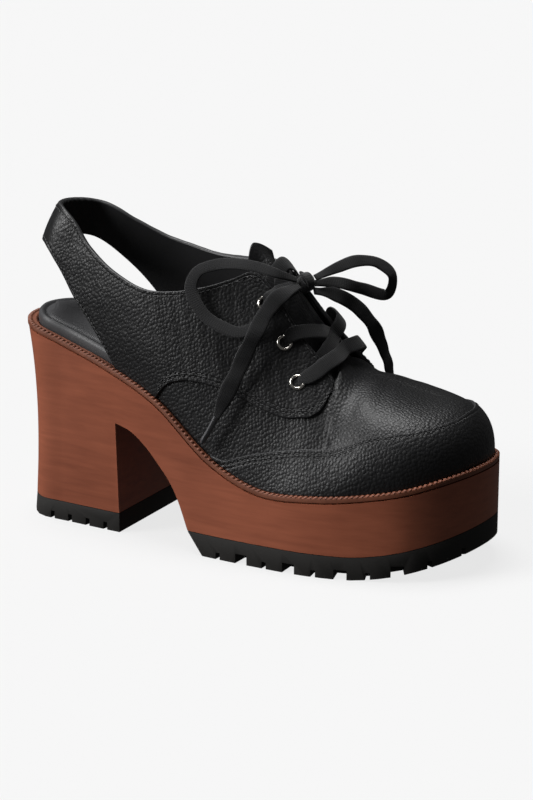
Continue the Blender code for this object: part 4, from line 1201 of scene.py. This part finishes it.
quarterRows = (
    (0.364, 0.000, 0.000), (0.380, 0.085, 0.075), (0.416, 0.200, 0.180), (0.450, 0.275, 0.250),
    (0.506, 0.355, 0.330), (0.560, 0.385, 0.385), (0.620, 0.405, 0.440), (0.684, 0.447, 0.480),
    (0.715, 0.490, 0.520), (0.732, 0.555, 0.580), (0.742, 0.650, 0.660))
mudguardRows = (
    (0.500, 0.030, 0.110), (0.521, 0.060, 0.175), (0.561, 0.165, 0.245), (0.621, 0.260, 0.325),
    (0.700, 0.325, 0.378), (0.755, 0.354, 0.410), (0.837, 0.393, 0.442), (0.900, 0.425, 0.465),
    (0.951, 0.469, 0.530), (0.985, 0.515, 0.575), (1.000, 0.570, 0.570))


def skinAt(share, signed, offset):
    # signed runs up the outer side to 1 at the ridge, and down the inner side to 2
    inner = signed > 1.0
    height = np.where(inner, 2.0 - signed, signed)
    turn = np.arccos(1.0 - 2.0 * share) / math.pi
    turn = np.where(inner, 2.0 - turn, turn)
    return skinPoint(turn, height, offset)


def wallGrids(turns, lows, highs, rows, root, thickness, relief=None, lift=0.0):
    steps = np.linspace(0.0, 1.0, rows + 1)
    heights = lows[None, :] + (highs - lows)[None, :] * steps[:, None]
    turn = np.broadcast_to(turns[None, :], heights.shape)
    inside = np.full(heights.shape, root)
    outside = np.full(heights.shape, root + thickness)
    if relief is not None:
        inside, outside = relief(turn, heights, inside, outside)
    grids = [skinPoint(turn, heights, offset) for offset in (inside, outside)]
    for grid in grids:
        grid[..., 2] += lift
    return grids, turn, heights


def hemOf(grid, fromLow):
    # length in millimetres down each column to its nearer edge
    steps = np.linalg.norm(np.diff(grid, axis=0), axis=-1) / mm
    low = np.concatenate((np.zeros((1, grid.shape[1])), np.cumsum(steps, axis=0)))
    high = low[-1] - low
    return np.where(fromLow, np.minimum(low, high), high)


def skinAttributes(grids, turn, extra, fromLow, twice):
    # full pebble on the sides, smoother round the back; distance from the edge for the stitch channels
    share = turnShare(np.mod(turn, 2.0))
    grain = 0.30 + 0.70 * smoothStep(0.03, 0.10, share)
    hem = hemOf(grids[1], fromLow)
    layers = {"grain": (grain, 0.25), "hem": (hem, 0.0), "twice": (twice + 0 * hem, 0.0)}
    return {name: np.concatenate((field.ravel(), field.ravel(), np.full(extra, rim)))
            for name, (field, rim) in layers.items()}


# Creases of the upper, each with its run as share along the sole and place from the outer side over
# the ridge (1) to the inner, its half width and its depth in millimetres; a ridge has a depth below 0
creases = {
    "quarter": (
        (((0.565, 0.30), (0.545, 0.44), (0.515, 0.56)), 5.5, 0.55),
        (((0.530, 0.27), (0.500, 0.40), (0.470, 0.50)), 6.0, -0.35),
        (((0.430, 0.22), (0.400, 0.36), (0.345, 0.52)), 7.0, 0.50),
        (((0.110, 0.90), (0.200, 0.80), (0.300, 0.66)), 3.5, 0.40),
        (((0.565, 1.70), (0.545, 1.56), (0.515, 1.44)), 5.5, 0.55),
        (((0.430, 1.78), (0.400, 1.64), (0.345, 1.48)), 7.0, 0.50),
        (((0.110, 1.10), (0.200, 1.20), (0.300, 1.34)), 3.5, 0.40),
    ),
    "vamp": (
        (((0.762, 0.42), (0.782, 0.62), (0.800, 0.85), (0.804, 1.02)), 5.0, 0.28),
        (((0.790, 0.44), (0.812, 0.66), (0.830, 0.92), (0.832, 1.10)), 5.0, -0.12),
        (((0.815, 0.50), (0.838, 0.70), (0.856, 0.94), (0.855, 1.20)), 5.0, 0.22),
        (((0.760, 1.60), (0.782, 1.42), (0.802, 1.20)), 5.0, 0.28),
        (((0.700, 0.26), (0.735, 0.36), (0.775, 0.40)), 4.5, 0.35),
    ),
}


def creaseAt(name, turn, heights):
    # offset in metres that the creases of one piece add to its wall
    here = skinPoint(turn, heights, np.zeros(heights.shape))
    total = np.zeros(heights.shape)
    for keys, half, depth in creases[name]:
        keys = np.array(keys)
        spots = skinAt(keys[:, 0], keys[:, 1], np.zeros(len(keys)))
        fine = np.linspace(0.0, 1.0, 25)
        stops = np.linspace(0.0, 1.0, len(keys))
        line = np.stack([curveThrough(stops, spots[:, i], fine) for i in range(3)], axis=1)
        away = np.full(heights.shape, 1.0)
        fade = np.zeros(heights.shape)
        for spot, run in zip(line, fine):
            gap = np.linalg.norm(here - spot, axis=-1)
            nearer = gap < away
            away = np.where(nearer, gap, away)
            fade = np.where(nearer, math.sin(math.pi * (0.06 + 0.88 * run)) ** 0.7, fade)
        total -= depth * mm * fade * np.exp(-(away / (half * mm)) ** 2)
    return total


def quarterRelief(turn, heights, inside, outside):
    # gathers inside the back of the strap, and a soft dip where the strap turns
    share = turnShare(np.mod(turn, 2.0))
    back = 1.0 - smoothStep(0.012, 0.045, share)
    gathers = np.sin(np.mod(turn, 2.0) * 2.0 * math.pi * 38.0) * 0.35 * mm
    inside = inside + back * (gathers - 0.3 * mm)
    soft = np.sin(heights * 34.0 + share * 60.0) * np.sin(share * 95.0) * 0.10 * mm
    outside = outside + soft * smoothStep(0.0, 0.02, share) + creaseAt("quarter", turn, heights)
    return inside, outside


def makeQuarters():
    front, tops = turnAt(quarterRows[-1][0]), turnAt(upper["facingTop"])
    seam, back = turnAt(quarterRows[0][0]), turnAt(strapRows[-1][0])
    parts = [np.linspace(front, tops, 37)[:-1], np.linspace(tops, seam, 41)[:-1],
             np.linspace(seam, back, 25)[:-1], np.linspace(back, 0.0, 64)]
    half = np.concatenate(parts)
    turns = np.concatenate((half, -half[-2::-1]))
    share = turnShare(np.mod(turns, 2.0))
    lows = np.where(share < strapRows[-1][0], edgeOf(strapRows, turns),
                    np.where(share < quarterRows[0][0], 0.0, edgeOf(quarterRows, turns)))
    highs = edgeOf(collarRows, turns)
    grids, turn, heights = wallGrids(turns, lows, highs, upper["rows"], skin["overlayRoot"],
                                     skin["overlayWall"], quarterRelief, skin["lift"])
    points, faces, kinds = shell(*grids, bulge=0.55)
    onSeam = (share > quarterRows[0][0])[None, :]
    edged = onSeam | (share < strapRows[-1][0])[None, :]
    lower = heights < 0.5 * (lows + highs)[None, :]
    layers = skinAttributes(grids, turn, len(points) - 2 * turn.size, edged, np.where(onSeam & lower, 1.0, 0.0))
    return makePiece("quarters_and_strap", points, faces, [leather, lining, cutEdge], ["upper"],
                     kinds=kinds, attributes=layers, sharp=60)


def vampRelief(turn, heights, inside, outside):
    # soft rolls where the toe bends behind the cap
    share = turnShare(np.mod(turn, 2.0))
    roll = np.sin((share - 0.745) * 2.0 * math.pi / 0.055) * 0.16 * mm
    roll = roll * smoothStep(0.70, 0.76, share) * (1.0 - smoothStep(0.84, 0.90, share))
    return inside, outside + roll * smoothStep(0.35, 0.7, heights) + creaseAt("vamp", turn, heights)


def makeVamp():
    back, throat = turnAt(upper["vampBack"]), turnAt(upper["throat"])
    half = np.concatenate((np.linspace(back, throat, 45), np.linspace(turnAt(upper["throat"] + 0.004), 1.0, 61)))
    turns = np.concatenate((half, 2.0 - half[-2::-1]))
    share = turnShare(turns)
    seam = edgeOf(quarterRows, turns) + upper["underlap"]
    highs = np.where(share < upper["throat"] + 0.002, np.minimum(seam, 0.93), 1.0)
    grids, turn, heights = wallGrids(turns, 0 * highs, highs, 44, 0.0, skin["wall"], vampRelief)
    points, faces, kinds = shell(*grids, bulge=0.4, joins=highs > 0.999)
    layers = skinAttributes(grids, turn, len(points) - 2 * turn.size, False, 0.0)
    layers["hem"] = np.full(len(points), 20.0)
    return makePiece("vamp", points, faces, [leather, lining, cutEdge], kinds=kinds,
                     attributes=layers, sharp=60, weld=4e-6)


def makeMudguard():
    first = turnAt(mudguardRows[0][0])
    turns = np.linspace(first, 2.0 - first, 181)
    highs = edgeOf(mudguardRows, turns)
    grids, turn, heights = wallGrids(turns, 0 * highs, highs, 24, upper["mudguardRoot"],
                                     upper["mudguardWall"], None, skin["lift"])
    points, faces, kinds = shell(*grids, bulge=0.5)
    twice = 1.0 - smoothStep(0.80, 0.82, turnShare(turn))
    layers = skinAttributes(grids, turn, len(points) - 2 * turn.size, False, twice)
    return makePiece("mudguard", points, faces, [leather, lining, cutEdge], kinds=kinds,
                     attributes=layers, sharp=60)


quarters = makeQuarters()
vamp = makeVamp()
mudguard = makeMudguard()

# Stitching

print("Stitching")
stitch = {"pitch": 2.5 * mm, "length": 2.0 * mm, "width": 0.55 * mm, "height": 0.45 * mm}


def seamLine(turns, heights, offset):
    # points on the skin with their outward directions
    turns, heights = np.asarray(turns, float), np.asarray(heights, float)
    points = skinPoint(turns, heights, offset)
    points[:, 2] += skin["lift"]
    return points, lastNormal(turns, heights)


def shifted(rows, turns, down):
    # an edge line moved down the skin by a length
    heights = edgeOf(rows, turns)
    here, below = lastPoint(turns, heights), lastPoint(turns, heights - 0.02)
    return heights - 0.02 * down / np.linalg.norm(here - below, axis=-1)


def makeSeams():
    quarterFace = skin["overlayRoot"] + skin["overlayWall"] + 0.05 * mm
    guardFace = upper["mudguardRoot"] + upper["mudguardWall"] + 0.05 * mm
    seams = []
    for inner in (False, True):
        flip = (lambda t: 2.0 - t) if inner else (lambda t: t)
        lower = flip(np.linspace(turnAt(0.372), turnAt(0.738), 120))
        for down in (-1.6, -3.4):
            seams.append(seamLine(lower, shifted(quarterRows, lower, down * mm), quarterFace))
        facing = flip(np.linspace(turnAt(0.738), turnAt(0.552), 70))
        seams.append(seamLine(facing, shifted(collarRows, facing, 1.8 * mm), quarterFace))
        strapLow = flip(np.linspace(turnAt(0.018), turnAt(0.240), 80))
        seams.append(seamLine(strapLow, shifted(strapRows, strapLow, -1.6 * mm), quarterFace))
        guard = flip(np.linspace(turnAt(0.535), turnAt(0.99), 150))
        seams.append(seamLine(guard, shifted(mudguardRows, guard, 1.5 * mm), guardFace))
        guardBack = flip(np.linspace(turnAt(0.56), turnAt(0.80), 90))
        seams.append(seamLine(guardBack, shifted(mudguardRows, guardBack, 3.3 * mm), guardFace))
    collar = np.linspace(turnAt(0.552), -turnAt(0.552), 260)
    seams.append(seamLine(collar, shifted(collarRows, collar, 1.8 * mm), quarterFace))
    return beadsAlong("upper_stitches", seams, stitch, thread)


stitches = makeSeams()

# Tongue

print("Tongue")
tongue = {"thickness": 2.2 * mm, "clear": 1.2 * mm, "steps": 46, "across": 33}
tongueRows = (
    (0.525, 0.762, 0.002, 0.022, 0.056),
    (0.556, 0.782, 0.000, 0.003, 0.000),
    (0.590, 0.710, 0.000, 0.000, -0.004),
    (0.620, 0.640, 0.000, 0.000, 0.000),
    (0.700, 0.620, 0.000, -0.012, 0.000),
    (0.790, 0.700, 0.000, -0.022, 0.000),
)


def makeTongue():
    keys = [row[0] for row in tongueRows]
    at = np.linspace(keys[0], keys[-1], tongue["steps"])
    edge, flare, lift, cup = (curveThrough(keys, [row[i] for row in tongueRows], at) for i in (1, 2, 3, 4))
    side = np.linspace(-1.0, 1.0, tongue["across"])
    layers = []
    for depth in (tongue["clear"] + tongue["thickness"], tongue["clear"]):
        grid = np.zeros((len(at), len(side), 3))
        for k, share in enumerate(at):
            heights = 1.0 - np.abs(side) * (1.0 - edge[k])
            turns = np.where(side > 0.0, turnAt(share, True), turnAt(share))
            base = lastPoint(turns, heights) - lastNormal(turns, heights) * depth
            base += np.array((flare[k], 0.0, lift[k])) * instepRise
            bow = cup[k] * instepRise * side * side
            grid[k] = base + np.stack((0.35 * bow, 0 * bow, bow), axis=1)
        layers.append(grid)
    points, faces, kinds = shell(*layers, bulge=0.6)
    layers = {"grain": np.full(len(points), 0.9), "hem": np.full(len(points), 20.0),
              "twice": np.zeros(len(points))}
    return makePiece("tongue_flap", points, faces, [leather, lining, cutEdge], ["tongue"],
                     kinds=kinds, attributes=layers, sharp=60)


tongueFlap = makeTongue()

# Eyelets and the lace's crossings

print("Eyelets")
eyelet = {
    "flange": 3.7 * mm,
    "bore": 2.3 * mm,
    "barrel": 2.6 * mm,
    "reach": 2.4 * mm,
    "height": 1.0 * mm,
    "sides": 48,
}
def makeEyelets():
    f, b, w, h = eyelet["flange"], eyelet["bore"], eyelet["barrel"], eyelet["height"]
    profile = [(b, -eyelet["reach"]), (b, 0.35 * h), (b + 0.10 * mm, 0.7 * h), (b + 0.35 * mm, 0.93 * h),
               (0.5 * (b + f), h), (f - 0.45 * mm, 0.88 * h), (f - 0.12 * mm, 0.6 * h), (f, 0.3 * h),
               (f - 0.1 * mm, 0.1 * h), (w, 0.1 * h), (w, -eyelet["reach"])]
    for key, (centre, out) in eyeletFrames().items():
        place = Matrix.Translation(centre) @ Vector(out).to_track_quat("Z", "Y").to_matrix().to_4x4()
        points, faces = [], []
        count = len(profile)
        for s in range(eyelet["sides"]):
            angle = 2.0 * math.pi * s / eyelet["sides"]
            points += [tuple(place @ Vector((r * math.cos(angle), r * math.sin(angle), z))) for r, z in profile]
            ahead = ((s + 1) % eyelet["sides"]) * count
            faces += [(s * count + i, ahead + i, ahead + (i + 1) % count, s * count + (i + 1) % count)
                      for i in range(count)]
        makePiece("eyelet_ring_" + key, points, faces, [metal], ["eyelet_" + key], sharp=45)


makeEyelets()

print("Crossings")
bars = {
    "step": 1.1 * mm,
    "pinch": 0.50,                  # share of its width that a bar has in an eyelet
    "dive": -0.5,                   # how deep a bar's end lies in an eyelet, in millimetres
    # share along the sole, place from the outer side over the ridge (1) to the inner, and millimetres
    # off the last's skin; the lowest bar lies on top, the others come out at the middle and top eyelets
    "lower": (
        ((0.674, 0.560, -0.5), (0.678, 0.566, 3.2), (0.691, 0.600, 3.6), (0.704, 0.645, 3.5), (0.718, 0.725, 3.8),
         (0.730, 0.812, 4.0), (0.738, 0.938, 4.6), (0.737, 1.050, 6.2), (0.732, 1.150, 7.4), (0.722, 1.240, 6.6),
         (0.704, 1.340, 4.6), (0.682, 1.425, 3.4), (0.674, 1.440, -0.5)),
        ((0.635, 0.640, -0.5), (0.638, 0.648, 3.5), (0.643, 0.672, 4.3), (0.650, 0.700, 4.4), (0.663, 0.731, 4.2),
         (0.682, 0.788, 3.6), (0.695, 0.844, 3.0), (0.705, 0.913, 2.3), (0.713, 1.020, 1.5), (0.712, 1.110, 0.8),
         (0.704, 1.210, -0.3), (0.690, 1.330, -0.6), (0.676, 1.430, -0.6)),
        ((0.635, 1.360, -0.5), (0.638, 1.350, 3.3), (0.660, 1.265, 5.4), (0.690, 1.180, 6.4), (0.705, 1.110, 5.6),
         (0.716, 1.010, 4.3), (0.720, 0.900, 3.3), (0.718, 0.820, 2.0), (0.714, 0.760, 0.6), (0.704, 0.690, -0.3),
         (0.690, 0.630, -0.6), (0.676, 0.575, -0.6)),
    ),
    "upper": (
        ((0.631, 0.675, -0.6), (0.624, 0.715, -0.6), (0.615, 0.800, 0.3), (0.605, 0.930, 1.4), (0.600, 1.050, 1.4),
         (0.594, 1.160, 0.4), (0.590, 1.240, -0.6), (0.584, 1.300, -0.6)),
        ((0.631, 1.325, -0.6), (0.624, 1.285, -0.6), (0.615, 1.200, 0.6), (0.605, 1.070, 2.7), (0.600, 0.950, 2.7),
         (0.594, 0.840, 0.6), (0.590, 0.770, -0.6), (0.584, 0.700, -0.6)),
    ),
}


def barRoute(keys):
    keys = np.array(keys)
    reach = np.concatenate(([0.0], np.cumsum(np.linalg.norm(np.diff(skinAt(*keys[:, :2].T, keys[:, 2] * mm),
                                                                    axis=0), axis=1))))
    at = np.linspace(0.0, reach[-1], int(reach[-1] / bars["step"]) + 1)
    share, signed, offset = (curveThrough(reach, keys[:, i], at) for i in range(3))
    centres = skinAt(share, signed, offset * mm)
    outward = unit(skinAt(share, signed, offset * mm + 2.0 * mm) - centres)
    for turn in range(4):
        centres[1:-1] = 0.25 * centres[:-2] + 0.5 * centres[1:-1] + 0.25 * centres[2:]
        outward[1:-1] = unit(outward[:-2] + 2.0 * outward[1:-1] + outward[2:])
    return centres, outward, at / mm


def makeCrossings():
    for level in ("lower", "upper"):
        points, faces, uvs, base = [], [], [], 0
        for keys in bars[level]:
            centres, outward, reach = barRoute(keys)
            throat = np.ones(len(centres))
            if keys[0][2] == bars["dive"]:
                throat = np.minimum(throat, smoothStep(3.0, 9.0, reach))
            if keys[-1][2] == bars["dive"]:
                throat = np.minimum(throat, smoothStep(3.0, 9.0, reach[-1] - reach))
            widths = lace["width"] * (bars["pinch"] + (0.98 - bars["pinch"]) * throat)
            ringPoints, ringFaces, ringUv = ribbon(centres, outward, widths, lace["thickness"])
            points.append(ringPoints)
            uvs.append(ringUv)
            faces += [tuple(base + i for i in face) for face in ringFaces]
            base += len(ringPoints)
        makePiece("lace_bars_" + level, np.concatenate(points), faces, [laceFinish],
                  ["lace_crossing_" + level], uv=np.concatenate(uvs), sharp=60)


makeCrossings()

# Floor and light

print("Studio")
studio = {
    "room": 0.06,                   # radiance of the room
    "glow": 0.778,                   # the backdrop shines a little, so its shadows stay faint
    "albedo": 0.115,
    "suns": (("overhead", (-0.18, 0.08, 1.0), 2.6, 28.0), ("left", (-0.90, -0.72, 0.66), 2.8, 28.0)),
    "profile": ((0.0, 0.0), (1.5, 0.0), (3.2, 0.0), (4.6, 0.2), (5.6, 0.9), (6.1, 2.2), (6.2, 4.5),
                (5.2, 7.5), (3.0, 9.2), (0.0, 9.8)),
    "sides": 64,
}


def makeStudio():
    # one pale bowl is floor and backdrop; it only shows, and the room's light comes through it
    world = bpy.data.worlds.new("paleRoom")
    world.use_nodes = True
    back = world.node_tree.nodes["Background"]
    back.inputs["Color"].default_value = (1.0, 1.0, 1.0, 1.0)
    back.inputs["Strength"].default_value = studio["room"]
    scene.world = world
    points, faces, sides = [], [], studio["sides"]
    for reach, height in studio["profile"]:
        for k in range(sides):
            angle = 2.0 * math.pi * k / sides
            points.append((reach * math.cos(angle), reach * math.sin(angle), height))
    for level in range(len(studio["profile"]) - 1):
        for k in range(sides):
            j = (k + 1) % sides
            faces.append((level * sides + k, level * sides + j, (level + 1) * sides + j, (level + 1) * sides + k))
    mesh = bpy.data.meshes.new("floor")
    mesh.from_pydata(points, [], faces)
    tidy = bmesh.new()
    tidy.from_mesh(mesh)
    bmesh.ops.remove_doubles(tidy, verts=tidy.verts, dist=1e-6)
    tidy.to_mesh(mesh)
    tidy.free()
    mesh.polygons.foreach_set("use_smooth", [True] * len(mesh.polygons))
    paint = Finish("paleFloor", roughness=0.95, specular=0.0)
    paint.colour((studio["albedo"],) * 3)
    paint.shader.inputs["Emission Color"].default_value = (1.0, 1.0, 1.0, 1.0)
    paint.shader.inputs["Emission Strength"].default_value = studio["glow"]
    mesh.materials.append(paint.material)
    floor = bpy.data.objects.new("floor", mesh)
    scene.collection.objects.link(floor)
    floor.visible_diffuse = floor.visible_glossy = floor.visible_shadow = False
    for name, comesFrom, power, spread in studio["suns"]:
        data = bpy.data.lights.new(name, "SUN")
        data.energy = power
        data.angle = math.radians(spread)
        lamp = bpy.data.objects.new(name, data)
        lamp.matrix_world = Vector(comesFrom).to_track_quat("Z", "Y").to_matrix().to_4x4()
        scene.collection.objects.link(lamp)


makeStudio()

print("Done")
